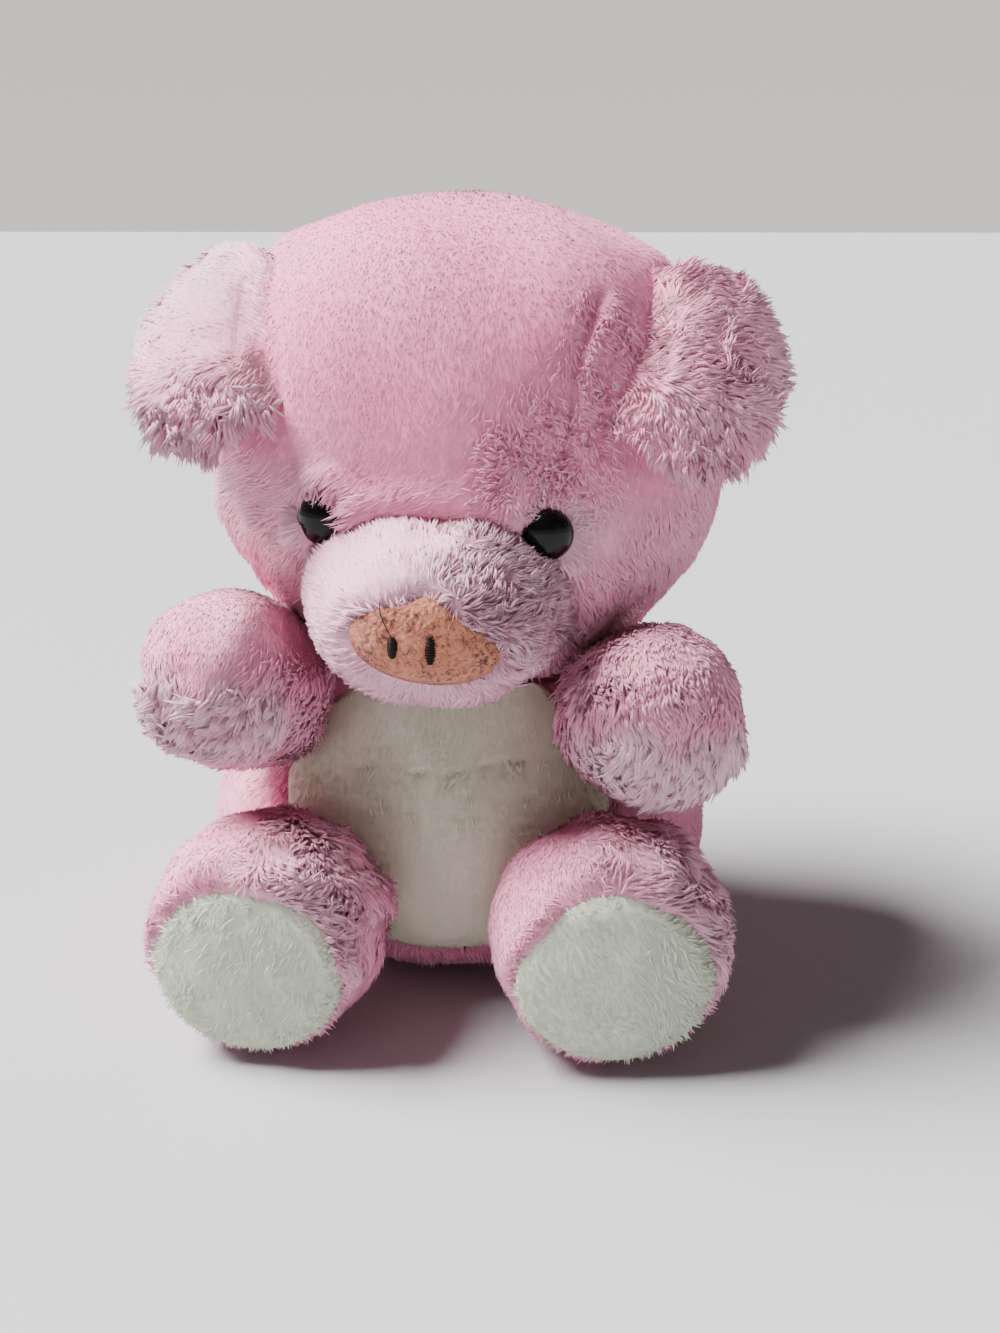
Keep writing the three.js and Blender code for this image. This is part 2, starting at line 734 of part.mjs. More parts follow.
function addTail() {
  const curl = new THREE.Curve();
  curl.getPoint = (share, target = new THREE.Vector3()) => {
    const straight_share = tail_straight / (tail_straight + tail_curl_radius * tail_curl_turn);
    if (share < straight_share) {
      return target.set(0, tail_straight * (share / straight_share), 0);
    }
    const turned = ((share - straight_share) / (1 - straight_share)) * tail_curl_turn;
    return target.set(
      tail_curl_rise * (turned / tail_curl_turn),
      tail_straight + tail_curl_radius * Math.sin(turned),
      tail_curl_radius * (1 - Math.cos(turned)),
    );
  };
  const round = new THREE.Shape().absarc(0, 0, tail_radius, 0, 2 * Math.PI);
  const tube = new THREE.ExtrudeGeometry(round, {
    extrudePath: curl, steps: tail_steps, curveSegments: tail_sides / 2, bevelEnabled: false,
  });
  const ends = [0, 1].map((share) => ball(tail_radius, tail_sides, tail_sides, curl.getPoint(share)));
  tail.add(pieceOf(ends.reduce((whole, end) => whole.add(end), solidOf(tube)), "tail", pink_plush()));
}
addTail();

export default pig;
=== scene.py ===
"""A sitting plush pig: clumped pile cloth over stuffed forms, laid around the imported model."""

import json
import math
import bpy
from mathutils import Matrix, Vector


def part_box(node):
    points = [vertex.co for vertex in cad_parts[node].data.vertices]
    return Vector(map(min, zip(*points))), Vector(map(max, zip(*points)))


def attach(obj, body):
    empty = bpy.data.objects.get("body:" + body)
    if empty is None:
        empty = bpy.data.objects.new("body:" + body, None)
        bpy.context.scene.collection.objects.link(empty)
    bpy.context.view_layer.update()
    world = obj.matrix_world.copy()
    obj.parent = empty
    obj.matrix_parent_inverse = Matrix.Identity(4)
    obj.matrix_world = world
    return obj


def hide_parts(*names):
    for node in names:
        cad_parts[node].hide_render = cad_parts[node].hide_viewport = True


bl_info = {
    "name": "Plush Pig",
    "version": (1, 0, 0),
    "blender": (4, 5, 0),
    "location": "View3D > Sidebar > Plush Pig",
    "description": "Makes a sitting plush pig piece by piece, with its pile, eyes, snout and stage",
    "category": "Add Mesh",
}

from functools import partial, reduce

import bmesh
import bpy
import numpy as np
from bpy.props import FloatProperty, FloatVectorProperty, PointerProperty
from bpy.types import Operator, Panel, PropertyGroup
from mathutils import Matrix, Vector
from mathutils.bvhtree import BVHTree
from mathutils.kdtree import KDTree

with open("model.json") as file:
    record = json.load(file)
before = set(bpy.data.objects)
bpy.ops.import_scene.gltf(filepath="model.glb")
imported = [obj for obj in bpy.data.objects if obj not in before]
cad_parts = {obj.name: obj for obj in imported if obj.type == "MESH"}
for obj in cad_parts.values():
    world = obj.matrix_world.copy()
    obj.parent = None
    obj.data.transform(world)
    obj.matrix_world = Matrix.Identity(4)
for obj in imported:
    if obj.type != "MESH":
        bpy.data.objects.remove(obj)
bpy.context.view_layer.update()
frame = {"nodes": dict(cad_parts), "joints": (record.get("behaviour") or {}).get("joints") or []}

MM = 0.001
LEFT, RIGHT = -1, 1
SIDE_NAMES = {LEFT: "left", RIGHT: "right"}
BAKE_MAP = "OFBake"
HEAD_LEVEL, FORM_LEVEL = 7, 6  # times that the balls under the pile are divided
CUT_BACK = 0.9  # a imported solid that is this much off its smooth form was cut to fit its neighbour
FILLING_COVER = 0.7  # cloth over the filling
FAR = 200.0
BEND_STEPS = 14
JOINTS = {joint["name"]: joint for joint in frame["joints"]}

# Head, in millimetres from its own centre
HEAD_CENTRE = np.array([3.0, 3.0, 127.0])
HEAD_HALF = np.array([62.0, 57.0, 61.0])
HEAD_SQUARENESS = 2.35
HEAD_TILT = math.radians(2.5)
HEAD_TURN = math.radians(-3.5)
NECK_BALL = 60.0
NECK_EDGE = math.radians(52)
NECK_BLEND = math.radians(34)

# Muzzle, snout and nostrils
MUZZLE_CENTRE = np.array([0.0, -48.0, -27.0])
MUZZLE_HALF = np.array([28.0, 30.0, 19.5])
MUZZLE_SQUARENESS = 2.3
SNOUT_CENTRE = np.array([2.0, -30.0])
SNOUT_HALF = np.array([16.0, 8.6])
SNOUT_PEAK = 2.64
SNOUT_TILT = math.radians(8)
NOSTRIL_SPACING = 8.0
NOSTRIL_HALF = np.array([1.3, 2.5])
THREAD_THICK = 0.55

# Eyes
EYE_X = 25.0
EYE_Z = -9.0
EYE_RADIUS = 5.8
EYE_HEIGHT = 4.4
EYE_RIM = 0.8
EYE_POCKET = 0.9
EYE_SHANK = (1.6, 7.2)

# Ears
EAR_TOP = (46.0, 44.0)
EAR_BOTTOM = (41.0, 9.0)
EAR_SPREAD = math.radians(17)
EAR_WIDTH = 29.0
EAR_HEIGHT = 56.0
EAR_RISE = 3.5
EAR_THICK = 3.6
EAR_MIDDLE = np.array([EAR_WIDTH * 0.45, EAR_RISE])
EAR_ROOT = {LEFT: 6.0, RIGHT: 7.5}
EAR_PILE = {
    LEFT: {"fall": 0.95, "length": 4.8, "lock": 0.9, "width": 0.5},
    RIGHT: {"fall": 0.5, "length": 1.6, "lock": 0.3, "width": 0.15},
}
EAR_OUTLINE = (
    (0, 0.88), (0.12, 0.98), (0.4, 1.03), (0.66, 0.91), (0.9, 0.79), (1, 0.62), (1, 0.46),
    (1, 0.28), (0.8, 0.12), (0.52, 0.05), (0.3, 0), (0.1, 0.02), (0, 0.12),
)

# Body
TORSO_HALF_WIDTH = 65.0
TORSO_HALF_DEPTH = 49.0
TORSO_HEIGHT = 96.0
TORSO_PROFILE = (
    (0, 0), (0.3, 0), (0.56, 0.004), (0.8, 0.055), (0.95, 0.17), (1, 0.3), (0.95, 0.45),
    (0.83, 0.58), (0.71, 0.69), (0.62, 0.8), (0.55, 0.9), (0.42, 0.98), (0, 1),
)
TORSO_CENTRE = np.array([0.0, 0.0, 40.0])
HEAD_ROOM = 62.4
BELLY_HALF_WIDTH = 40.0
BELLY_LOW = 12.0
BELLY_HIGH = 92.0
BELLY_MIDDLE = (BELLY_LOW + BELLY_HIGH) / 2
BELLY_NECK = 66.0

# Arms and legs: reach, radius, turn outward, turn upward, and (share of reach, share of radius)
ARM = {
    "reach": 56.0, "radius": 19.8, "ball": 12.0, "outward": math.radians(10),
    "upward": math.radians(20), "uneven": math.radians(5.5),
    "profile": (
        (-0.1, 0.55), (0, 0.74), (0.11, 0.82), (0.25, 0.9), (0.4, 0.97), (0.55, 1), (0.7, 0.985),
        (0.83, 0.86), (0.93, 0.62), (0.985, 0.3),
    ),
}
LEG = {
    "reach": 38.0, "radius": 26.5, "ball": 18.0, "outward": math.radians(7),
    "upward": 0.0, "uneven": 0.0,
    "profile": (
        (-0.1, 0.6), (0, 0.78), (0.14, 0.87), (0.32, 0.965), (0.5, 1), (0.68, 0.985), (0.83, 0.93),
        (0.93, 0.84), (0.965, 0.7), (0.99, 0.4),
    ),
}
SOLE_RADIUS = 21.0
SOLE_SPREAD = 1.05
SOLE_DROP = 2.4
SOLE_SQUASH = 0.93
SOLE_PLACE = 0.82
LIMB_MIDDLE = 0.48

# Tail: straight, then one turn of a rising curl; and the roll of seam allowance at the neck
TAIL_STRAIGHT, TAIL_CURL, TAIL_RISE, TAIL_THICK = 10.0, 6.5, 10.0, 6.2
TAIL_TURN = math.radians(330)
SEAM_HALF = (3.3, 2.3)
SEAM_INSET = 3.5

# The camera, as fitted to the photo: lengths in metres; focal length, shift and frame in pixels
CAMERA_SIDE, CAMERA_PITCH = math.radians(3.5), math.radians(17)
CAMERA_AWAY, CAMERA_HEIGHT = 0.374, 0.185
CAMERA_FOCAL, CAMERA_SHIFT, FRAME_TALL = 1500, 43, 1333
LIGHT_TARGET = (0, 0, 0.09)


def colour_of(code):
    """A colour for the shaders from its six-digit code."""
    parts = [int(code[i:i + 2], 16) / 255 for i in (0, 2, 4)]
    return tuple(p / 12.92 if p <= 0.04045 else ((p + 0.055) / 1.055) ** 2.4 for p in parts)


class PlushPigCloth(PropertyGroup):
    pile_length: FloatProperty(
        name="Pile Length", description="Length of the pile on the smooth parts",
        default=0.0052, min=0.002, max=0.012, unit="LENGTH",
    )
    tuft_width: FloatProperty(
        name="Tuft Width", description="Thickness of one tuft of pile at its root",
        default=0.00062, min=0.0003, max=0.002, unit="LENGTH",
    )
    density: FloatProperty(
        name="Pile Density", description="Share of the full number of tufts",
        default=1.0, min=0.05, max=2.0, subtype="FACTOR",
    )


def colour_property(name, description, code):
    return FloatVectorProperty(
        name=name, description=description, default=colour_of(code), subtype="COLOR", size=3, min=0, max=1,
    )


class PlushPigColours(PropertyGroup):
    # The root colours are the pile's own colours in painted shade: the pile is darker deep down than at its
    # tips.
    pink_root: colour_property("Pink Roots", "Pile at its roots, in the deepest pink", "ad617c")
    pink_tip: colour_property("Pink Tips", "Pile tips where the pink is strongest", "f284b2")
    pale_root: colour_property("Pale Roots", "Pile roots where the pink has faded", "9c6c7e")
    pale_tip: colour_property("Pale Tips", "Pile tips where the pink has faded", "eac4d3")
    cream_root: colour_property("Cream Roots", "Roots of the cream cloth", "aaa68c")
    cream_tip: colour_property("Cream Tips", "Tips of the cream cloth", "e8e5d0")
    sole_root: colour_property("Sole Roots", "Roots of the cloth under the feet", "a3ab98")
    sole_tip: colour_property("Sole Tips", "Tips of the cloth under the feet", "dee4d0")
    snout: colour_property("Snout", "The snout's suede-like cloth", "c87a5f")
    thread: colour_property("Thread", "The stitches of the nostrils", "160806")
    eye: colour_property("Eye", "The glossy eyes", "060507")


class PlushPigStage(PropertyGroup):
    key_power: FloatProperty(
        name="Key Light", description="Strength of the broad light from the upper left",
        default=15.5, min=0, max=50,
    )
    fill_power: FloatProperty(
        name="Fill Light", description="Strength of the fill light at the right",
        default=0.15, min=0, max=200, subtype="POWER",
    )
    surround_power: FloatProperty(
        name="Surround Strength", description="Strength of the light from all round",
        default=1.3, min=0, max=10,
    )
    floor: colour_property("Floor", "The plain floor", "b2b2b6")
    surround: colour_property("Surround", "The light from all round", "d9d6cf")


# Forms


def unit(vectors):
    return vectors / np.maximum(np.linalg.norm(vectors, axis=-1, keepdims=True), 1e-12)


def smooth_step(value, low, high):
    share = np.clip((value - low) / (high - low), 0, 1)
    return share * share * (3 - 2 * share)


def xyz(x, y, z):
    """Vectors from their three parts, each one value or one for each point."""
    return np.stack(np.broadcast_arrays(x, y, z), axis=-1).astype(float)


def lengths(away):
    return np.linalg.norm(away, axis=1)


def most(*values):
    return reduce(np.maximum, values)


def tilted(flat, angle):
    cos, sin = math.cos(angle), math.sin(angle)
    return np.column_stack([flat[:, 0] * cos - flat[:, 1] * sin, flat[:, 0] * sin + flat[:, 1] * cos])


def hinge(name):
    """A joint's place in millimetres."""
    return np.array(JOINTS[name]["pos_m"]) / MM


def bell(*ratios):
    """1 where all the ratios are 0, falling smoothly to nearly nothing where one reaches 2."""
    return np.exp(-sum(ratio ** 2 for ratio in ratios))


def wander(points, size, seed):
    """A smooth value from about -1 to 1 that changes over lumps of this size, in millimetres."""
    rng = np.random.default_rng(seed)
    waves = 14
    turns = unit(rng.normal(size=(waves, 3))) * (math.tau / size * rng.uniform(0.6, 1.5, waves))[:, None]
    return np.sin(points @ turns.T + rng.uniform(0, math.tau, waves)).sum(1) / math.sqrt(waves)


def swirl(points, size, seed):
    """A direction that wanders smoothly in the same way."""
    return np.column_stack([wander(points, size, seed + axis) for axis in range(3)])


class Form:
    """A closed surface: points in millimetres in the row frame, triangles and normals."""

    def __init__(self, points, triangles):
        self.points = points
        self.triangles = triangles
        self.refresh()

    def refresh(self):
        a, b, c = (self.points[self.triangles[:, i]] for i in range(3))
        across = np.cross(b - a, c - a)
        self.areas = lengths(across) / 2
        total = np.zeros_like(self.points)
        for axis in range(3):
            for corner in range(3):
                total[:, axis] += np.bincount(
                    self.triangles[:, corner], across[:, axis], len(self.points)
                )
        self.normals = unit(total)

    def settled(self, values, times):
        """Values averaged with their neighbours a number of times."""
        ends = np.concatenate([self.triangles[:, pair] for pair in ([0, 1], [1, 2], [2, 0])])
        count = np.bincount(ends[:, 0], minlength=len(self.points))
        for _ in range(times):
            around = np.bincount(ends[:, 0], values[ends[:, 1]], len(self.points)) / count
            values = (values + around) / 2
        return values

    def widened(self, values):
        """Each value raised to the highest of its neighbours."""
        raised = values.copy()
        for first, second in ((0, 1), (1, 2), (2, 0)):
            np.maximum.at(raised, self.triangles[:, first], values[self.triangles[:, second]])
        return raised


def arrays_of(bm):
    """The corners and triangles of a mesh being built, which ends with this."""
    bm.verts.index_update()
    corners = np.array([vert.co[:] for vert in bm.verts])
    triangles = np.array([[vert.index for vert in face.verts] for face in bm.faces])
    bm.free()
    return corners, triangles


ball_cache = {}


def round_ball(level):
    """Directions and triangles of an evenly divided ball."""
    if level not in ball_cache:
        bm = bmesh.new()
        bmesh.ops.create_icosphere(bm, subdivisions=level, radius=1.0)
        corners, triangles = arrays_of(bm)
        ball_cache[level] = unit(corners), triangles
    return ball_cache[level]


def round_disc():
    """A ball pressed into a disc: place through it, angle, ring from 0 to 1, ways out and triangles."""
    directions, triangles = round_ball(FORM_LEVEL)
    across, through, high = directions.T
    angle = np.arctan2(high, across)
    ring = np.arcsin(np.clip(np.hypot(across, high), 0, 1)) / (math.pi / 2)
    return through, angle, ring, np.column_stack([np.cos(angle), np.sin(angle)]), triangles


def spun(bm, geometry, steps):
    """Turn a profile about Z into a closed surface."""
    bmesh.ops.spin(
        bm, geom=geometry, cent=(0, 0, 0), axis=(0, 0, 1), dvec=(0, 0, 0), angle=math.tau,
        steps=steps, use_merge=True, use_duplicate=False,
    )
    bmesh.ops.remove_doubles(bm, verts=bm.verts, dist=1e-6)
    bmesh.ops.recalc_face_normals(bm, faces=bm.faces)


def steady_faces(bm):
    """The faces as numbers of corners, in an order that doesn't change from run to run."""
    bm.verts.index_update()
    faces = []
    for face in bm.faces:
        corners = [vert.index for vert in face.verts]
        first = corners.index(min(corners))
        faces.append(corners[first:] + corners[:first])
    return sorted(faces)


def square_reach(directions, half, squareness):
    return (np.abs(directions / half) ** squareness).sum(-1) ** (-1 / squareness)


def head_reach(directions):
    from_below = np.arccos(np.clip(-directions[..., 2], -1, 1))
    share = smooth_step(from_below, NECK_EDGE, NECK_EDGE + NECK_BLEND)
    return NECK_BALL + (square_reach(directions, HEAD_HALF, HEAD_SQUARENESS) - NECK_BALL) * share


def on_head(x, z):
    """The head's surface above a point of the face."""
    spread = abs(x / HEAD_HALF[0]) ** HEAD_SQUARENESS + abs(z / HEAD_HALF[2]) ** HEAD_SQUARENESS
    depth = HEAD_HALF[1] * max(0.0, 1 - spread) ** (1 / HEAD_SQUARENESS)
    direction = unit(np.array([x, -depth, z]))
    return direction * head_reach(direction)


def head_outward(point):
    return unit(np.sign(point) * np.abs(point) ** (HEAD_SQUARENESS - 1) / HEAD_HALF ** HEAD_SQUARENESS)


def matrix_of(rotation, centre):
    turned = np.eye(4)
    turned[:3, :3] = np.array(rotation.to_3x3())
    turned[:3, 3] = centre
    return turned


HEAD_MATRIX = matrix_of(
    Matrix.Rotation(HEAD_TILT, 4, "Y") @ Matrix.Rotation(HEAD_TURN, 4, "Z"), HEAD_CENTRE
)


def placed(points, matrix):
    return points @ matrix[:3, :3].T + matrix[:3, 3]


def seen_from(points, matrix):
    """Row-frame points in the space of a matrix."""
    return (points - matrix[:3, 3]) @ matrix[:3, :3]


def turned_in(vectors, matrix):
    return vectors @ matrix[:3, :3].T


def beside_line(points, line):
    """Distance of each point from a bent line, and how far along the line it lies, 0 to 1."""
    starts, ends = line[:-1], line[1:]
    best = np.full(len(points), np.inf)
    along = np.zeros(len(points))
    for i, (start, end) in enumerate(zip(starts, ends)):
        run = end - start
        share = np.clip(((points - start) @ run) / (run @ run), 0, 1)
        away = lengths(points - start - share[:, None] * run)
        nearer = away < best
        best = np.where(nearer, away, best)
        along = np.where(nearer, (i + share) / len(starts), along)
    return best, along


def on_face(line):
    """A line of the face, given in X and Z from the head's centre, laid on the head."""
    return np.array([on_head(x, z) for x, z in line])


def cad_reach(nodes, centre, directions):
    """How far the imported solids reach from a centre, in millimetres, along each direction."""
    corners, faces = [], []
    for node in nodes:
        mesh = frame["nodes"][node].data
        start = len(corners)
        corners.extend(vert.co / MM for vert in mesh.vertices)
        faces.extend([start + i for i in face.vertices] for face in mesh.polygons)
    tree = BVHTree.FromPolygons(corners, faces)
    reach = np.zeros(len(directions))
    middle = Vector(centre)
    for i, direction in enumerate(directions):
        way = Vector(direction)
        hit = tree.ray_cast(middle + way * FAR, -way, FAR)
        reach[i] = FAR - hit[3] if hit[0] is not None else 0.0
    return reach


def fitted_form(reach_along, nodes, centre, turned=None):
    """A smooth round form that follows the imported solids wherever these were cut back."""
    directions, triangles = round_ball(FORM_LEVEL)
    smooth = reach_along(directions if turned is None else directions @ turned)
    solid = cad_reach(nodes, centre, directions)
    reach = np.where(np.abs(smooth - solid) > CUT_BACK, solid, smooth)
    form = Form(directions, triangles)
    fillings = [name for name in nodes if "stuffing" in name]
    form.filling = form.widened(cad_reach(fillings, centre, directions)) + FILLING_COVER
    for times in (18, 2):
        reach = np.maximum(form.settled(reach, times), form.filling)
    form.centre = centre
    form.points = centre + directions * reach[:, None]
    form.refresh()
    return form


def swelled(form, swell):
    """Move a fitted form's surface outward by these lengths, but never into its filling."""
    points = form.points + form.normals * swell[:, None] - form.centre
    away = lengths(points)
    form.points = form.centre + points * (np.maximum(away, form.filling) / away)[:, None]


def turned_reach(profile, origin):
    """Reach of a turned form from a point of its axis, against the angle from the axis."""
    along = np.array([a - origin for a, _ in profile])
    wide = np.array([w for _, w in profile])
    steps = np.linspace(0, len(profile) - 1, 400)
    along = np.interp(steps, range(len(profile)), along)
    wide = np.interp(steps, range(len(profile)), wide)
    kernel = np.hanning(25) / np.hanning(25).sum()
    inner = slice(len(kernel) // 2, -(len(kernel) // 2))
    along[inner] = np.convolve(along, kernel, "valid")
    wide[inner] = np.convolve(wide, kernel, "valid")
    angles = np.arctan2(wide, along)
    order = np.argsort(angles)
    return lambda angle: np.interp(angle, angles[order], np.hypot(along, wide)[order])


# Pile


def tuft_shape(rings):
    """One closed tuft with three sides, from its root at 0 to its tip at 1."""
    bm = bmesh.new()
    bmesh.ops.create_cone(bm, cap_ends=True, segments=3, radius1=1.0, radius2=0.0, depth=1.0)
    bmesh.ops.translate(bm, vec=(0, 0, 0.5), verts=bm.verts)
    bmesh.ops.remove_doubles(bm, verts=bm.verts, dist=1e-5)
    for i in range(1, rings):
        geometry = bm.verts[:] + bm.edges[:] + bm.faces[:]
        bmesh.ops.bisect_plane(bm, geom=geometry, plane_co=(0, 0, i / rings), plane_no=(0, 0, 1))
    bmesh.ops.triangulate(bm, faces=bm.faces)
    bmesh.ops.recalc_face_normals(bm, faces=bm.faces)
    corners, triangles = arrays_of(bm)
    height = corners[:, 2]
    sides = corners[:, :2] / np.maximum(np.hypot(corners[:, 0], corners[:, 1]), 1e-6)[:, None]
    sides[height > 0.999] = 0
    return height, sides, triangles


def laid_pile(form, look, coat, seed):
    """One coat of tufts all over a form, as the look says: points, triangles, map places and normals."""
    cloth = bpy.context.scene.plush_pig_cloth
    rng = np.random.default_rng(seed)
    a, b, c = (form.points[form.triangles[:, i]] for i in range(3))
    middles = (a + b + c) / 3
    style = look(middles, unit(np.cross(b - a, c - a)))
    mix = smooth_step(style["rough"], coat["from"], 0.75)
    amount = style["density"] * (coat["smooth"] + (coat["rough"] - coat["smooth"]) * mix)
    weights = form.areas * amount * cloth.density
    count = max(1, int(weights.sum()))
    picked = rng.choice(len(weights), count, p=weights / weights.sum())
    share = rng.random((count, 2))
    share = np.where(share.sum(1, keepdims=True) > 1, 1 - share, share)
    corners = form.triangles[picked]
    portions = np.column_stack([1 - share.sum(1), share])[:, :, None]
    roots = (form.points[corners] * portions).sum(1)
    normals = unit((form.normals[corners] * portions).sum(1))
    style = look(roots, normals)
    rough = style["rough"]

    nap = style["nap"] - (style["nap"] * normals).sum(1, keepdims=True) * normals
    nap = unit(nap)
    side = np.cross(normals, nap)
    loose = coat["loose"]
    yaw = ((style["stray"] + coat["stray"]) * rng.normal(size=count))[:, None]
    nap, side = nap * np.cos(yaw) + side * np.sin(yaw), side * np.cos(yaw) - nap * np.sin(yaw)
    length = (coat["length"] * style["length"] * rng.uniform(0.7, 1.2, count))[:, None]
    lift = (coat["lift"] * style["lift"] + coat["stand"]) * rng.uniform(0.5, 1.5, count)
    lift = np.clip(lift, 0.02, 1.5)[:, None]
    rise = lift + 0.45 * rough[:, None]
    bend = roots + length * 0.5 * (nap * np.cos(rise) + normals * np.sin(rise))
    tips = roots + length * (nap * np.cos(lift) + normals * np.sin(lift))

    # Neighbouring tufts lean together into locks
    per_lock = np.maximum(1.5, style["lock"] ** 2 * np.maximum(amount[picked], 0.2))
    leads = np.flatnonzero(rng.random(count) < 1 / per_lock)
    lead_tone = np.zeros(count)
    lead_shade = np.zeros(count)
    if len(leads) > 8:
        tree = KDTree(len(leads))
        for i, lead in enumerate(leads):
            tree.insert(roots[lead], i)
        tree.balance()
        nearest = leads[np.array([tree.find(root)[1] for root in roots])]
        gather = style["gather"][:, None] * rng.uniform(0.65, 1.0, (count, 1)) * (1 - 0.6 * loose)
        tips = tips + (tips[nearest] - tips) * gather
        bend = bend + (bend[nearest] - bend) * gather * 0.4
        lead_tone = rng.uniform(-1, 1, count)[nearest]
        # Painted shade: some locks are darkened as a whole, as if shadowed between clumps.
        lead_shade = rng.uniform(0, 1, count)[nearest] * style["depth"]
    starts = roots - normals * 0.35

    height, corners_round, triangles = tuft_shape(coat["rings"])
    s = height[None, :, None]
    centre = starts[:, None] * (1 - s) ** 2 + 2 * bend[:, None] * s * (1 - s) + tips[:, None] * s ** 2
    run = unit((bend - starts)[:, None] * (1 - s) + (tips - bend)[:, None] * s)
    across = unit(np.cross(normals[:, None], run))
    upward = np.cross(run, across)
    taper = np.where(height > 0.999, 0.0, (1 - height) ** 0.45)
    width = cloth.tuft_width / MM * coat["width"] * style["width"] * rng.uniform(0.7, 1.3, count)
    if coat["rings"] > 1:
        width *= 0.55 + 0.45 * smooth_step(rough, 0.15, 0.6)
    width = width[:, None, None] * taper[None, :, None]
    round_way = across * corners_round[None, :, :1] + upward * corners_round[None, :, 1:] * 0.8
    points = centre + round_way * width
    points[:, :, 2] = np.maximum(points[:, :, 2], 0.05)
    soft = ((coat["soft"] - 0.25 * rough) * style["soft"])[:, None, None]
    shading = unit(unit(round_way + run * 0.2) * (1 - soft) + normals[:, None] * soft)

    tone = style["tone"] + lead_tone * style["patchy"]
    tone = tone + rng.normal(size=count) * style["speckle"] + 0.25 * loose
    # V runs from veil at the roots, in painted shade, up to the tips, and lead_shade darkens whole locks with
    # more painted shade.
    veil = np.maximum(style["veil"], 0.5 * loose)[:, None]
    places = np.empty((count, len(height), 2))
    places[:, :, 0] = np.clip(tone, 0.01, 0.985)[:, None] + 0.004 * (1 + corners_round[None, :, 0])
    places[:, :, 1] = (veil + (0.97 - veil) * height[None, :]) * (1 - lead_shade[:, None])
    all_triangles = (triangles[None] + (np.arange(count) * len(height))[:, None, None]).reshape(-1, 3)
    return points.reshape(-1, 3), all_triangles, places.reshape(-1, 2), shading.reshape(-1, 3)


def backing(form, look):
    """The cloth under the pile, darkened with painted shade a little deeper than the pile's roots."""
    style = look(form.points, form.normals)
    tone = np.clip(style["tone"] + 0.02 * wander(form.points, 6, 5), 0.01, 0.98)
    shade = style["veil"] * 0.9 + 0.02 * wander(form.points, 5, 8)
    places = np.column_stack([tone, np.clip(shade, 0.01, 0.95)])
    return form.points, form.triangles, places, form.normals


def new_object(name, data):
    made = bpy.data.objects.new(name, data)
    bpy.context.scene.collection.objects.link(made)
    return made


def mesh_of(name, parts, material):
    """One piece from arrays of points, triangles, map places and normals."""
    offsets = np.cumsum([0] + [len(part[0]) for part in parts])
    points = np.concatenate([part[0] for part in parts]) * MM
    triangles = np.concatenate([part[1] + start for part, start in zip(parts, offsets)])
    places = np.concatenate([part[2] for part in parts])
    shading = np.concatenate([part[3] for part in parts])
    mesh = bpy.data.meshes.new(name)
    mesh.vertices.add(len(points))
    mesh.vertices.foreach_set("co", points.astype(np.float32).ravel())
    mesh.loops.add(triangles.size)
    mesh.loops.foreach_set("vertex_index", triangles.astype(np.int32).ravel())
    mesh.polygons.add(len(triangles))
    mesh.polygons.foreach_set("loop_start", np.arange(0, triangles.size, 3, dtype=np.int32))
    mesh.polygons.foreach_set("use_smooth", np.ones(len(triangles), bool))
    mesh.update(calc_edges=True)
    layer = mesh.uv_layers.new(name=BAKE_MAP)
    layer.uv.foreach_set("vector", places[triangles.ravel()].astype(np.float32).ravel())
    mesh.normals_split_custom_set_from_vertices(shading.astype(np.float32))
    mesh.materials.append(material)
    return new_object(name, mesh)


# The coats, in tufts for each square millimetre: smooth pile, finer standing pile, locks and loose ends
COATS = (
    {
        "rings": 1, "smooth": 2.15, "rough": 0.8, "from": 0.0, "width": 0.6, "length": 0.88, "lift": 0.8,
        "stand": 0.0, "stray": 0.0, "soft": 0.97, "loose": 0,
    },
    {
        "rings": 1, "smooth": 1.3, "rough": 0.2, "from": 0.0, "width": 0.32, "length": 0.5, "lift": 1.0,
        "stand": 0.25, "stray": 0.5, "soft": 0.98, "loose": 0,
    },
    {
        "rings": 2, "smooth": 0.0, "rough": 2.0, "from": 0.12, "width": 0.88, "length": 1.0, "lift": 1.1,
        "stand": 0.0, "stray": 0.0, "soft": 0.6, "loose": 0,
    },
    {
        "rings": 2, "smooth": 0.0, "rough": 0.1, "from": 0.2, "width": 0.55, "length": 1.1, "lift": 1.1,
        "stand": 0.0, "stray": 0.3, "soft": 0.6, "loose": 1,
    },
)


def plush_piece(name, form, look, cloth, seed):
    parts = [backing(form, look)]
    parts += [laid_pile(form, look, coat, seed + 1000 * i) for i, coat in enumerate(COATS)]
    return mesh_of(name, parts, pile_of(cloth))


def declare(piece, node, body):
    """Hide the imported part that a piece replaces and attach the piece to the body it rides."""
    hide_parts(node)
    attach(piece, body)


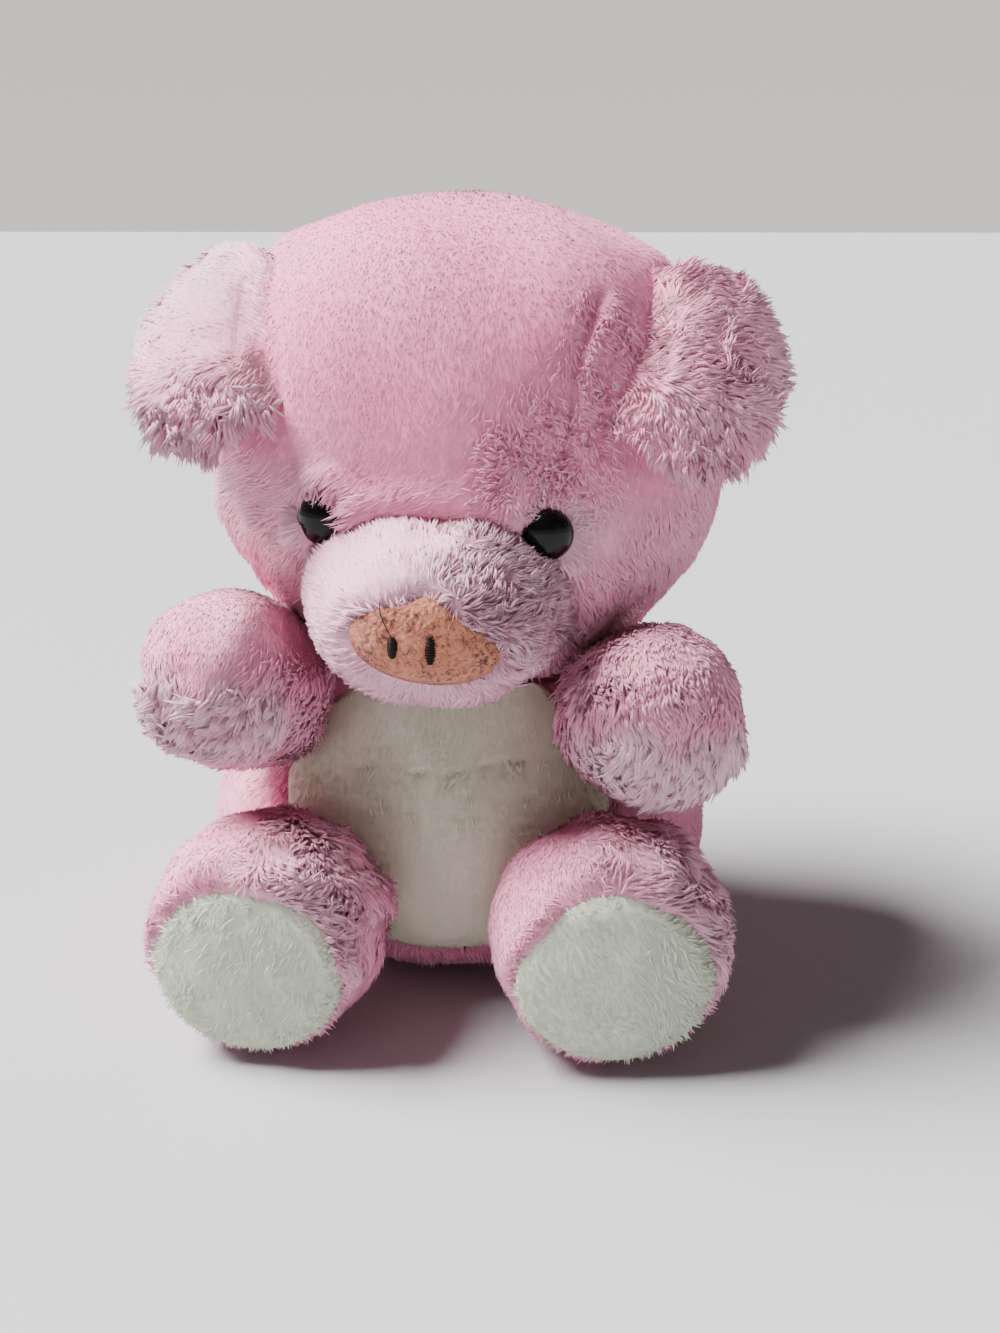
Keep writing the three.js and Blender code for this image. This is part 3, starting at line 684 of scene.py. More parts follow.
def style_of(points, rough, short=1.0, **values):
    """Every value of the pile's style, one for each point; rough runs from 0, smooth, to 1, tufted."""
    rough = np.clip(np.broadcast_to(np.asarray(rough, float), (len(points),)), 0, 1)
    cloth = bpy.context.scene.plush_pig_cloth
    style = {
        "density": 1.0, "nap": (0, 0, -1), "length": cloth.pile_length / MM * (0.72 + 0.3 * rough),
        "lift": 0.04 + 0.44 * rough, "width": 1.0, "stray": 0.07 + 0.4 * rough, "lock": 1.0 + 0.5 * rough,
        "gather": 0.15 + 0.75 * rough, "tone": 0.3, "patchy": 0.012 + 0.09 * rough,
        "speckle": 0.008 + 0.03 * rough, "soft": 1.0,
        # depth is painted shade that darkens whole locks; veil is where the roots start on the root-to-tip
        # ramp, so the lower it is the deeper the painted shade at the roots.
        "depth": 0.3 * smooth_step(rough, 0.25, 0.8), "veil": np.maximum(0.1, 0.88 - 0.95 * rough),
    }
    style.update(values)
    for key, value in style.items():
        value = np.asarray(value, float)
        shape = (len(points), 3) if key == "nap" else (len(points),)
        style[key] = np.broadcast_to(value, shape).copy()
    style["rough"] = rough
    style["length"] *= short
    return style


def altered(style, **changes):
    """Add these amounts to a style's values, and give the style back."""
    for key, change in changes.items():
        style[key] = style[key] + change
    return style


# Materials


def node_material(name):
    material = bpy.data.materials.new(name)
    material.use_nodes = True
    tree = material.node_tree
    tree.nodes.clear()
    output = tree.nodes.new("ShaderNodeOutputMaterial")
    shader = tree.nodes.new("ShaderNodeBsdfPrincipled")
    tree.links.new(shader.outputs["BSDF"], output.inputs["Surface"])
    return material, tree, shader


def set_values(node, values):
    for name, value in values.items():
        node.inputs[name].default_value = value


def textured(tree, kind, values):
    """A texture laid in the piece's own space."""
    node = tree.nodes.new(f"ShaderNodeTex{kind}")
    set_values(node, values)
    tree.links.new(tree.nodes.new("ShaderNodeTexCoord").outputs["Object"], node.inputs["Vector"])
    return node


def bumped(tree, shader, height, strength, distance):
    bump = tree.nodes.new("ShaderNodeBump")
    set_values(bump, {"Strength": strength, "Distance": distance})
    tree.links.new(height, bump.inputs["Height"])
    tree.links.new(bump.outputs["Normal"], shader.inputs["Normal"])


def mixed(tree, factor, first, second):
    node = tree.nodes.new("ShaderNodeMix")
    node.data_type = "RGBA"
    for socket, value in ((node.inputs["Factor"], factor), (node.inputs[6], first), (node.inputs[7], second)):
        if isinstance(value, bpy.types.NodeSocket):
            tree.links.new(value, socket)
        elif socket.type == "RGBA":
            socket.default_value = (*value, 1)
        else:
            socket.default_value = value
    return node.outputs[2]


def ramped(tree, factor, stops):
    ramp = tree.nodes.new("ShaderNodeValToRGB")
    tree.links.new(factor, ramp.inputs["Fac"])
    elements = ramp.color_ramp.elements
    while len(elements) < len(stops):
        elements.new(0.5)
    for element, (place, value) in zip(elements, stops):
        element.position = place
        element.color = (value, value, value, 1) if isinstance(value, (int, float)) else (*value, 1)
    return ramp.outputs["Color"]


def pile_material(name, root, tip, pale_root, pale_tip):
    """Pile whose colour runs from root to tip along V, the roots darker with painted shade, and from full to
    faded colour along U.
    """
    material, tree, shader = node_material(name)
    place = tree.nodes.new("ShaderNodeUVMap")
    place.uv_map = BAKE_MAP
    split = tree.nodes.new("ShaderNodeSeparateXYZ")
    tree.links.new(place.outputs["UV"], split.inputs["Vector"])
    roots = mixed(tree, split.outputs["X"], root, pale_root)
    tips = mixed(tree, split.outputs["X"], tip, pale_tip)
    height = ramped(tree, split.outputs["Y"], ((0.0, 0.0), (0.3, 0.24), (0.64, 0.82), (1.0, 1.0)))
    tree.links.new(mixed(tree, height, roots, tips), shader.inputs["Base Color"])
    rough = ramped(tree, split.outputs["Y"], ((0.0, 0.98), (1.0, 0.72)))
    tree.links.new(rough, shader.inputs["Roughness"])
    set_values(shader, {
        "Specular IOR Level": 0.25, "Sheen Weight": 0.35, "Sheen Roughness": 0.45,
        "Sheen Tint": (*pale_tip, 1),
    })
    return material


material_cache = {}


def pile_of(cloth):
    """The pile of one cloth: pink, cream or sole."""
    if cloth not in material_cache:
        colours = bpy.context.scene.plush_pig_colours
        root, tip = (getattr(colours, f"{cloth}_{end}")[:] for end in ("root", "tip"))
        if cloth == "pink":
            faded = colours.pale_root[:], colours.pale_tip[:]
        else:
            faded = tuple(1.15 * c for c in root), tip
            tip = tuple(0.88 * c for c in tip)
        material_cache[cloth] = pile_material(f"{cloth}_pile", root, tip, *faded)
    return material_cache[cloth]


# Head


def eye_seat(side):
    return on_head(side * EYE_X, EYE_Z)


def inside_muzzle(local):
    """Under 0 inside the muzzle, over 0 outside, in millimetres."""
    away = local - MUZZLE_CENTRE
    return lengths(away) - square_reach(unit(away), MUZZLE_HALF, MUZZLE_SQUARENESS)


def ear_seam(side, shift=0.0):
    tops = np.array(EAR_TOP) - (shift, 0)
    bottoms = np.array(EAR_BOTTOM) - (shift, 0)
    steps = np.linspace(0, 1, 9)[:, None]
    line = tops * (1 - steps) + bottoms * steps
    bow = np.sin(np.linspace(0, math.pi, 9))[:, None] * (1.5, 0)
    line = line - bow
    return on_face([(side * x, z) for x, z in line])


# Where the pile leans over each eye: (angle on the face from the right, how wide, how far)
EYE_FRINGES = {
    LEFT: ((0.1, 0.7, 1.1), (1.6, 0.9, 1.3)),
    RIGHT: ((2.3, 0.45, 0.8), (1.35, 0.3, 0.5)),
}


def left_lid(local):
    """How far the cheek closes over the left eye's outer side, 0 to 1."""
    seat = eye_seat(LEFT)
    return bell(lengths(local - seat - (-4.3, 0, -2.2)) / 3.6)


def eye_fringe(local, side):
    """How far the pile here leans over the eye, 0 to 1."""
    seat = eye_seat(side)
    angle = np.arctan2(local[:, 2] - seat[2], local[:, 0] - seat[0])
    share = np.zeros(len(local))
    for middle, wide, highest in EYE_FRINGES[side]:
        apart = (angle - middle + math.pi) % math.tau - math.pi
        share = most(share, highest * bell(apart / wide))
    return share


def head_form():
    directions, triangles = round_ball(HEAD_LEVEL)
    local = directions * head_reach(directions)[:, None]
    sink = 0.5 * wander(local, 40, 11)
    for side in (LEFT, RIGHT):
        away, along = beside_line(local, ear_seam(side))
        sink -= 0.8 * bell(away / 3.0) * smooth_step(along, 0.05, 0.3)
        shoulder = on_head(side * (EAR_TOP[0] - 2.5), EAR_TOP[1] + 2.5)
        sink += 3.2 * bell(lengths(local - shoulder) / 9)
        away, along = beside_line(local, ear_seam(side, EAR_ROOT[side] - 1.5))
        sink -= 0.9 * bell(away / 1.3) * smooth_step(along, 0.05, 0.25)
    away, along = beside_line(local, ear_seam(RIGHT, EAR_ROOT[RIGHT] + 5.5))
    sink -= 1.8 * bell(away / 1.5) * smooth_step(along, 0, 0.15)
    for side in (LEFT, RIGHT):
        seat = eye_seat(side)
        away = lengths(local - seat)
        sink -= 1.6 * bell(away / 5.5)
        sink += (0.5 + 1.5 * eye_fringe(local, side)) * bell((away - 8.6) / 3.6)
        if side == LEFT:
            sink += 5.0 * left_lid(local)
        fold = on_face([(side * 30, -18), (side * 33, -26), (side * 32, -36)])
        away, _ = beside_line(local, fold)
        sink -= 1.2 * bell(away / 3.0)
    gap = inside_muzzle(local)
    above = smooth_step(local[:, 2], -22, -6)
    sink += 1.5 * bell((gap - 5.5) / 4) * above
    sink += 2.0 * bell((gap - 6) / 5) * (1 - above)
    sink -= 1.0 * bell(gap / 1.2) * above
    sink = np.where(directions[:, 2] < -0.75, 0, sink)
    normals = Form(local, triangles).normals
    return Form(placed(local + normals * sink[:, None], HEAD_MATRIX), triangles)


def head_look(points, normals):
    local = seen_from(points, HEAD_MATRIX)
    facing = normals @ HEAD_MATRIX[:3, :3]
    x, y, z = local.T
    front = smooth_step(-y, 5, 40)
    brow = front * bell((z + 3) / 11) * smooth_step(14 - x, -6, 10)
    beside = smooth_step(np.hypot(x, z + 12), 22, 34)
    vague = 7 * wander(local, 34, 24)
    cheek = np.maximum(smooth_step(-z + vague, 0, 26), beside * smooth_step(-z + vague, -14, 12))
    cheek *= smooth_step(-y + vague, -10, 28)
    drift = 3 * wander(local, 16, 19)
    mussed = front * bell((x - 24 + drift) / 18, (z - 7) / 18)
    mussed = most(mussed, 0.9 * front * bell((x - 34 + drift) / 12, (z - 22) / 22))
    temple = front * bell((x + 44) / 14, (z + 2 + drift) / 12)
    rough = most(
        0.04 + 0.24 * brow, 0.85 * mussed * (0.9 + 0.2 * wander(local, 8, 18)), 0.42 * temple,
        0.55 * cheek * (0.85 + 0.25 * wander(local, 14, 20)),
        (0.26 + 0.08 * wander(local, 22, 17)) * smooth_step(y, -8, 24),
    )
    crown = np.array([-4.0, 8.0, 60.0])
    nap = xyz(0.25 * x / 60, 0, -1) * 0.6 + unit(local - crown) * 0.8
    nap += brow[:, None] * np.array([-1.6, 0, 0.4])
    nap += cheek[:, None] * xyz(np.sign(x) * 0.5, 0, -0.3)
    nap += swirl(local, 16, 21) * (0.1 + 0.9 * rough[:, None])
    gone = smooth_step(inside_muzzle(local), -1.5, 0.0)
    below = smooth_step(facing[:, 2], -0.93, -0.85)
    density = (0.66 + 0.34 * smooth_step(-y, -25, 10)) * gone * np.maximum(below, 0.02)
    fringe = np.zeros(len(points))
    ringed = np.zeros(len(points))
    for side in (LEFT, RIGHT):
        seat = eye_seat(side)
        toward = seat - local
        away = lengths(toward)
        ringed = most(ringed, bell(np.maximum(away - 5, 0) / 6))
        clear = smooth_step(away, EYE_RADIUS - 0.9, EYE_RADIUS - 0.3)
        if side == LEFT:
            clear = most(clear, smooth_step(left_lid(local), 0.5, 0.7))
        density *= clear
        near = bell(np.maximum(away - EYE_RADIUS - 1.5, 0) / 2.6)
        over = near * eye_fringe(local, side)
        fringe = most(fringe, over)
        nap = nap * (1 - near[:, None]) + unit(toward) * (2.4 * over - 1.0 * (near - over))[:, None]
        away, _ = beside_line(local, ear_seam(side))
        rough = most(rough, 0.35 * bell(away / 4))
    rough = most(rough, 0.75 * fringe)
    groove = bell((inside_muzzle(local) - 1) / 3.0)
    rough = most(rough, 0.4 * groove * smooth_step(-z, 8, 20))
    tone = 0.1 + 0.04 * wander(local, 40, 31)
    tone += 0.36 * cheek + 0.08 * smooth_step(np.abs(x), 38, 58) * front + 0.2 * temple
    # Deeper pink along the groove above the muzzle: painted shade.
    tone += 0.22 * mussed - 0.06 * groove * smooth_step(z, -22, -10) + 0.34 * ringed
    style = style_of(points, rough, density=density, nap=turned_in(nap, HEAD_MATRIX), tone=tone)
    # Painted shade: the roots go darker in a thin line along the crease above the muzzle, and depth darkens
    # the locks of the mussed patch.
    crease = bell(inside_muzzle(local) - 0.6) * smooth_step(z, -22, -10)
    return altered(
        style, lock=-0.5 * mussed - 0.3 * fringe, length=0.7 * fringe - 2.7 * mussed,
        width=-0.1 * mussed - 0.3 * fringe, stray=0.4 * mussed, patchy=0.2 * mussed, depth=0.3 * mussed,
        veil=0.22 * mussed - 0.4 * crease, lift=0.12 * fringe + 0.25 * groove * smooth_step(-z, 8, 20),
    )


class PLUSHPIG_OT_head(Operator):
    """Make the head with its pile and creases"""

    bl_idname = "plush_pig.head"
    bl_label = "Head"

    def execute(self, context):
        head = plush_piece("head_plush", head_form(), head_look, "pink", seed=101)
        declare(head, "head_skin", "head")
        return {"FINISHED"}


# Muzzle


def snout_radius(angle):
    """Reach of the snout patch's outline from its middle, against the angle from the right."""
    wide, high = SNOUT_HALF
    oval = 1 / np.sqrt((np.cos(angle) / wide) ** 2 + (np.sin(angle) / high) ** 2)
    return oval + SNOUT_PEAK * bell((angle - math.pi / 2) / 0.42)


def from_snout(local):
    """Distance outside the snout patch's outline, the way out on the face, and the angle."""
    flat = local[:, [0, 2]] - SNOUT_CENTRE
    own = tilted(flat, SNOUT_TILT)
    angle = np.arctan2(own[:, 1], own[:, 0])
    return lengths(own) - snout_radius(angle), unit(xyz(flat[:, 0], 0, flat[:, 1])), angle


def muzzle_form():
    directions, triangles = round_ball(FORM_LEVEL)
    reach = square_reach(directions, MUZZLE_HALF, MUZZLE_SQUARENESS)
    local = MUZZLE_CENTRE + directions * reach[:, None]
    sink = 0.4 * wander(local, 20, 41)
    outside, _, _ = from_snout(local)
    front = local[:, 1] < MUZZLE_CENTRE[1]
    sink += np.where(front, 1.0 * bell((outside - 4) / 4), 0)
    sink -= np.where(front, 0.5 * bell(outside / 1.5), 0)
    ends = lengths(local) - head_reach(unit(local))
    sink += 1.6 * bell((ends - 1) / 5)
    normals = Form(local, triangles).normals
    return Form(placed(local + normals * sink[:, None], HEAD_MATRIX), triangles)


def muzzle_look(points, normals):
    local = seen_from(points, HEAD_MATRIX)
    x, y, z = local.T
    outside, out, angle = from_snout(local)
    front = y < MUZZLE_CENTRE[1] + 6
    ends = lengths(local) - head_reach(unit(local))
    wavy = smooth_step(x, -4, 14) * smooth_step(z, -44, -30)
    rough = 0.31 + 0.5 * wavy + 0.08 * wander(local, 9, 50)
    under = smooth_step(-z, 36, 44) * smooth_step(outside, 1.5, 4)
    rough = most(rough, 0.62 * under)
    edge = bell(outside / 2.0) * front
    groove = bell((ends - 1) / 3.0)
    side = smooth_step(-z, 14, 24)
    rough = most(rough, np.maximum(0.6 * edge * smooth_step(angle, -0.5, 0.6), 0.45 * groove * side))
    nap = out + np.array([0, 0.9, 0]) * smooth_step(outside, 4, 14)[:, None]
    nap += swirl(local, 9, 51) * (0.2 + 0.6 * wavy[:, None]) + np.array([0, 0, -1.2]) * under[:, None]
    over = bell((outside - 0.6) / 1.3) * front * bell((angle - 1.5) / 0.9)
    nap -= 2.6 * out * over[:, None]
    density = 1.15 * smooth_step(ends, -2.5, -0.5) * np.where(front, smooth_step(outside, -1.8, -0.8), 1)
    # The pile goes deeper pink along the groove where the muzzle meets the head: painted shade.
    tone = 0.76 + 0.06 * wander(local, 16, 54) + 0.2 * wavy - 0.12 * groove * smooth_step(z, -20, -10)
    style = style_of(
        points, rough, short=0.85 - 0.12 * wavy, density=density, nap=turned_in(nap, HEAD_MATRIX), tone=tone,
    )
    # depth adds painted shade to the wavy locks.
    return altered(
        style, length=2.2 * under - 1.2 * over, width=-0.25 * wavy - 0.4 * over, lock=-0.25 * wavy,
        depth=0.25 * wavy, lift=0.25 * groove * side + 0.12 * edge, gather=-0.5 * over,
    )


class PLUSHPIG_OT_muzzle(Operator):
    """Make the paler muzzle, its nap running out from the snout"""

    bl_idname = "plush_pig.muzzle"
    bl_label = "Muzzle"

    def execute(self, context):
        muzzle = plush_piece("muzzle_plush", muzzle_form(), muzzle_look, "pink", seed=102)
        declare(muzzle, "muzzle_panel", "head")
        return {"FINISHED"}


def on_muzzle(flat, grow):
    """Points of the muzzle's front, in the head's space, from X and Z of the face."""
    spread = np.abs(flat[:, 0] / (MUZZLE_HALF[0] + grow)) ** MUZZLE_SQUARENESS
    spread += np.abs((flat[:, 1] - MUZZLE_CENTRE[2]) / (MUZZLE_HALF[2] + grow)) ** MUZZLE_SQUARENESS
    depth = (MUZZLE_HALF[1] + grow) * np.maximum(0, 1 - spread) ** (1 / MUZZLE_SQUARENESS)
    return xyz(flat[:, 0], MUZZLE_CENTRE[1] - depth, flat[:, 1])


def suede_material(colour):
    material, tree, shader = node_material("snout_suede")
    grain = textured(tree, "Noise", {"Scale": 950, "Detail": 5, "Roughness": 0.7})
    broad = textured(tree, "Noise", {"Scale": 190, "Detail": 2})
    speckle = ramped(tree, grain.outputs["Fac"], ((0.42, 0.0), (0.48, 0.6), (0.54, 1.0)))
    dark = tuple(0.16 * c for c in colour)
    light = tuple(min(1.0, 1.22 * c + 0.03) for c in colour)
    base = mixed(tree, speckle, dark, colour)
    base = mixed(tree, ramped(tree, broad.outputs["Fac"], ((0.42, 0.0), (0.66, 0.6))), base, light)
    # Painted shade: the patch darkens to a deep orange towards its edge, strongest along the bottom, as the
    # rim attribute says.
    rim = tree.nodes.new("ShaderNodeAttribute")
    rim.attribute_name = "rim"
    base = mixed(tree, rim.outputs["Fac"], base, tuple(c * d for c, d in zip(colour, (0.5, 0.24, 0.16))))
    tree.links.new(base, shader.inputs["Base Color"])
    bumped(tree, shader, grain.outputs["Fac"], 0.9, 0.0011)
    set_values(shader, {"Roughness": 0.85, "Sheen Weight": 0.25, "Specular IOR Level": 0.25})
    return material


def snout_form():
    through, angle, ring, ways, triangles = round_disc()
    own = ways * (snout_radius(angle) * ring)[:, None]
    flat = tilted(own, -SNOUT_TILT) + SNOUT_CENTRE
    grow = np.where(through < 0, 0.5 + 1.1 * np.abs(through) ** 0.35, 0.5 - 0.8 * through)
    dimple = np.zeros(len(flat))
    for side in (LEFT, RIGHT):
        away = np.hypot(flat[:, 0] - side * NOSTRIL_SPACING / 2, (flat[:, 1] - SNOUT_CENTRE[1]) / 1.6)
        dimple += bell(away / 2.2)
    grow = grow - np.where(through < 0, 0.55 * dimple, 0)
    local = on_muzzle(flat, grow)
    grain = np.where(through < 0, 0.09 * wander(local, 1.3, 61) + 0.1 * wander(local, 4, 62), 0)
    local[:, 1] -= grain
    return Form(placed(local, HEAD_MATRIX), triangles)


class PLUSHPIG_OT_snout(Operator):
    """Make the snout's suede-like patch"""

    bl_idname = "plush_pig.snout"
    bl_label = "Snout"

    def execute(self, context):
        colours = context.scene.plush_pig_colours
        form = snout_form()
        part = (form.points, form.triangles, np.zeros((len(form.points), 2)), form.normals)
        snout = mesh_of("snout_suede_patch", [part], suede_material(colours.snout[:]))
        snout.data.uv_layers.remove(snout.data.uv_layers[BAKE_MAP])
        outside, _, angle = from_snout(seen_from(form.points, HEAD_MATRIX))
        # rim: painted shade towards the patch's edge, strongest along the bottom.
        rim = bell((outside + 0.3) / 0.7) * (0.3 + 0.6 * smooth_step(-angle, -0.3, 1.0))
        snout.data.attributes.new("rim", "FLOAT", "POINT").data.foreach_set("value", rim.astype(np.float32))
        declare(snout, "snout_patch", "head")
        return {"FINISHED"}


def thread_material(colour):
    material, tree, shader = node_material("stitch_thread")
    twist_and_sheen = textured(tree, "Wave", {"Scale": 900, "Distortion": 2.5})
    twist_and_sheen.bands_direction = "DIAGONAL"
    # The lighter bands along the twist are painted sheen; the bump gives the twist its relief.
    light = tuple(1.6 * c + 0.003 for c in colour)
    tree.links.new(mixed(tree, twist_and_sheen.outputs["Fac"], colour, light), shader.inputs["Base Color"])
    bumped(tree, shader, twist_and_sheen.outputs["Fac"], 0.4, 0.0001)
    set_values(shader, {"Roughness": 0.55, "Specular IOR Level": 0.2})
    return material


def thread_mesh(name, runs, thickness, material, last=1.0):
    """Threads along bent runs of points in millimetres, as one mesh; last thins the last run."""
    curve = bpy.data.curves.new(name, "CURVE")
    curve.dimensions = "3D"
    curve.bevel_depth = thickness * MM / 2
    curve.bevel_resolution = 2
    curve.resolution_u = 4
    curve.use_fill_caps = True
    for run in runs:
        spline = curve.splines.new("NURBS")
        spline.points.add(len(run) - 1)
        for point, place in zip(spline.points, run):
            point.co = (*(np.asarray(place) * MM), 1)
            point.radius = last if run is runs[-1] else 1.0
        spline.order_u = 3
        spline.use_endpoint_u = True
    holder = new_object(name + "_line", curve)
    bpy.context.view_layer.update()
    mesh = bpy.data.meshes.new_from_object(holder.evaluated_get(bpy.context.evaluated_depsgraph_get()))
    bpy.data.objects.remove(holder)
    mesh.name = name
    mesh.materials.clear()
    mesh.materials.append(material)
    bm = bmesh.new()
    bm.from_mesh(mesh)
    bmesh.ops.remove_doubles(bm, verts=bm.verts, dist=1e-7)
    bmesh.ops.recalc_face_normals(bm, faces=bm.faces)
    bm.to_mesh(mesh)
    bm.free()
    mesh.polygons.foreach_set("use_smooth", np.ones(len(mesh.polygons), bool))
    return new_object(name, mesh)


class PLUSHPIG_OT_nostrils(Operator):
    """Make the two stitched nostrils and the loose end of thread"""

    bl_idname = "plush_pig.nostrils"
    bl_label = "Nostrils"

    def execute(self, context):
        material = thread_material(context.scene.plush_pig_colours.thread[:])
        rng = np.random.default_rng(71)
        for side in (LEFT, RIGHT):
            middle = np.array([side * NOSTRIL_SPACING / 2, SNOUT_CENTRE[1] + 0.2])
            high = NOSTRIL_HALF[1] * (0.85 if side == LEFT else 1.15)
            runs = []
            for step in np.linspace(-1, 1, 11):
                wide = NOSTRIL_HALF[0] * math.sqrt(1 - 0.8 * step * step) * rng.uniform(0.92, 1.12)
                slant = rng.uniform(-0.12, 0.12)
                across = np.array([-1.0, -0.6, 0.0, 0.6, 1.0])
                flat = middle + np.column_stack([across * wide, step * high + across * slant])
                depth = np.array([0.2, 1.25, 1.5, 1.25, 0.2])
                runs.append(placed(on_muzzle(flat, depth + 0.2), HEAD_MATRIX))
            if side == LEFT:
                flat = middle + np.array([[0.2, 1.5], [-0.6, 3.6], [-1.6, 5.6], [-2.6, 8.0], [-2.4, 10.2]])
                depth = np.array([1.2, 2.2, 2.9, 3.3, 4.2])
                loose = placed(on_muzzle(flat, depth), HEAD_MATRIX)
                runs.append(loose)
            name = f"nostril_stitches_{SIDE_NAMES[side]}"
            stitches = thread_mesh(name, runs, THREAD_THICK, material, last=0.45 if side == LEFT else 1.0)
            declare(stitches, f"nostril_{SIDE_NAMES[side]}", "head")
        return {"FINISHED"}


# Eyes


def eye_material(colour):
    material, tree, shader = node_material("eye_gloss")
    wear = textured(tree, "Noise", {"Scale": 420, "Detail": 4})
    tree.links.new(ramped(tree, wear.outputs["Fac"], ((0.4, 0.09), (0.75, 0.2))), shader.inputs["Roughness"])
    light = tuple(c * 2.2 for c in colour)
    tree.links.new(mixed(tree, wear.outputs["Fac"], colour, light), shader.inputs["Base Color"])
    shader.inputs["Specular IOR Level"].default_value = 0.22
    return material


class PLUSHPIG_OT_eyes(Operator):
    """Make the two glossy eyes on their shanks"""

    bl_idname = "plush_pig.eyes"
    bl_label = "Eyes"

    def execute(self, context):
        material = eye_material(context.scene.plush_pig_colours.eye[:])
        for side in (LEFT, RIGHT):
            seat = eye_seat(side)
            back = 0.3 - EYE_POCKET
            thin, long = EYE_SHANK
            profile = [(0.0, back - long), (thin, back - long), (thin, back), (EYE_RADIUS, back)]
            for angle in np.linspace(0, math.pi / 2, 15):
                profile.append((EYE_RADIUS * math.cos(angle), back + EYE_RIM + EYE_HEIGHT * math.sin(angle)))
            bm = bmesh.new()
            verts = [bm.verts.new((radius * MM, 0, height * MM)) for radius, height in profile]
            edges = [bm.edges.new(pair) for pair in zip(verts[:-1], verts[1:])]
            spun(bm, verts + edges, steps=48)
            turn = Vector((0, 0, 1)).rotation_difference(Vector(head_outward(seat))).to_matrix().to_4x4()
            place = Matrix(HEAD_MATRIX.tolist())
            place.translation *= MM
            bmesh.ops.transform(
                bm, matrix=place @ Matrix.Translation(Vector(seat) * MM) @ turn, verts=bm.verts
            )
            name = f"eye_dome_{SIDE_NAMES[side]}"
            mesh = bpy.data.meshes.new(name)
            mesh.from_pydata([vert.co[:] for vert in bm.verts], [], steady_faces(bm))
            bm.free()
            mesh.polygons.foreach_set("use_smooth", np.ones(len(mesh.polygons), bool))
            mesh.materials.append(material)
            declare(new_object(name, mesh), f"eye_{SIDE_NAMES[side]}", "head")
        return {"FINISHED"}


# Ears


def bent_outline(points):
    """The points of an outline of joined cubic bends."""
    points = np.array(points, float)
    line = []
    for i in range(0, len(points) - 1, 3):
        for share in np.linspace(0, 1, BEND_STEPS, endpoint=False):
            a, b, c, d = points[i:i + 4]
            line.append(
                a * (1 - share) ** 3 + 3 * b * share * (1 - share) ** 2
                + 3 * c * share ** 2 * (1 - share) + d * share ** 3
            )
    return np.array(line)


def outline_reach(line, middle):
    """Reach of a closed outline from a middle point, against the angle."""
    away = line - middle
    angles = np.arctan2(away[:, 1], away[:, 0])
    order = np.argsort(angles)
    angles, reach = angles[order], np.hypot(*away.T)[order]
    angles = np.concatenate([angles - math.tau, angles, angles + math.tau])
    reach = np.concatenate([reach, reach, reach])
    return lambda angle: np.interp(angle, angles, reach)


def ear_matrix(side):
    top = on_head(side * EAR_TOP[0], EAR_TOP[1])
    bottom = on_head(side * EAR_BOTTOM[0], EAR_BOTTOM[1])
    middle = on_head((top[0] + bottom[0]) / 2, (top[2] + bottom[2]) / 2)
    up = unit(top - bottom)
    off = head_outward(middle)
    off = unit(off - up * (off @ up))
    along = np.cross(up, off) * side
    across = (along * math.cos(EAR_SPREAD) + off * math.sin(EAR_SPREAD)) * side
    own = np.eye(4)
    own[:3, 0], own[:3, 1], own[:3, 2] = across, np.cross(up, across), up
    turned = HEAD_MATRIX.copy()
    turned[:3, :3] = HEAD_MATRIX[:3, :3] @ own[:3, :3]
    turned[:3, 3] = hinge(f"ear_flap_{SIDE_NAMES[side]}")
    return turned


def ear_form(side, face):
    """Half an ear: face -1 is the front panel and 1 the back one."""
    through, angle, ring, ways, triangles = round_disc()
    outline = bent_outline(EAR_OUTLINE) * (EAR_WIDTH, EAR_HEIGHT) + (0, EAR_RISE - EAR_HEIGHT / 2)
    root = np.linspace(outline[-1], outline[0] + (0, 1.8), 60)
    root[:, 0] -= EAR_ROOT[side] * np.sin(np.linspace(0.1, math.pi * 0.8, 60)) ** 0.4
    reach = outline_reach(np.concatenate([outline[4:], root]), EAR_MIDDLE)
    flat = ways * (reach(angle) * ring)[:, None] + EAR_MIDDLE
    outer = through * face > 0
    near_root = smooth_step(-flat[:, 0], -9, 3)
    puff = EAR_THICK * np.abs(through) ** 0.55 * (1 - 0.8 * near_root)
    depth = np.where(outer, face * puff, face * 0.15)
    cup = -1.2 * (flat[:, 0] / EAR_WIDTH) ** 2
    local = xyz(side * flat[:, 0], depth + cup, flat[:, 1])
    pinch = bell((flat[:, 0] - 1.5) / 1.0) * smooth_step(np.abs(flat[:, 1] - 6), 14, 6)
    local[:, 1] -= np.where(outer, face * np.minimum(0.9 * pinch, np.maximum(puff - 0.8, 0)), 0)
    # The root is sewn in, just under the head's surface
    own = seen_from(placed(local, ear_matrix(side)), HEAD_MATRIX)
    middle = xyz(local[:, 0], cup, local[:, 2])
    middle = seen_from(placed(middle, ear_matrix(side)), HEAD_MATRIX)
    proud = lengths(middle) - head_reach(unit(middle))
    sewn = smooth_step(-flat[:, 0], -3, EAR_ROOT[side] - 1.5)
    own -= unit(middle) * (sewn * np.maximum(proud + 2.6, 0))[:, None]
    form = Form(placed(own, HEAD_MATRIX), triangles)
    if ((form.points - form.points.mean(0)) * form.normals).sum(1).mean() < 0:
        form.triangles = form.triangles[:, ::-1].copy()
        form.refresh()
    lumps = 0.35 * wander(form.points, 12, 80 + side) * np.minimum(puff, 1)
    form.points = form.points + form.normals * np.where(outer, lumps, 0)[:, None]
    form.refresh()
    return form


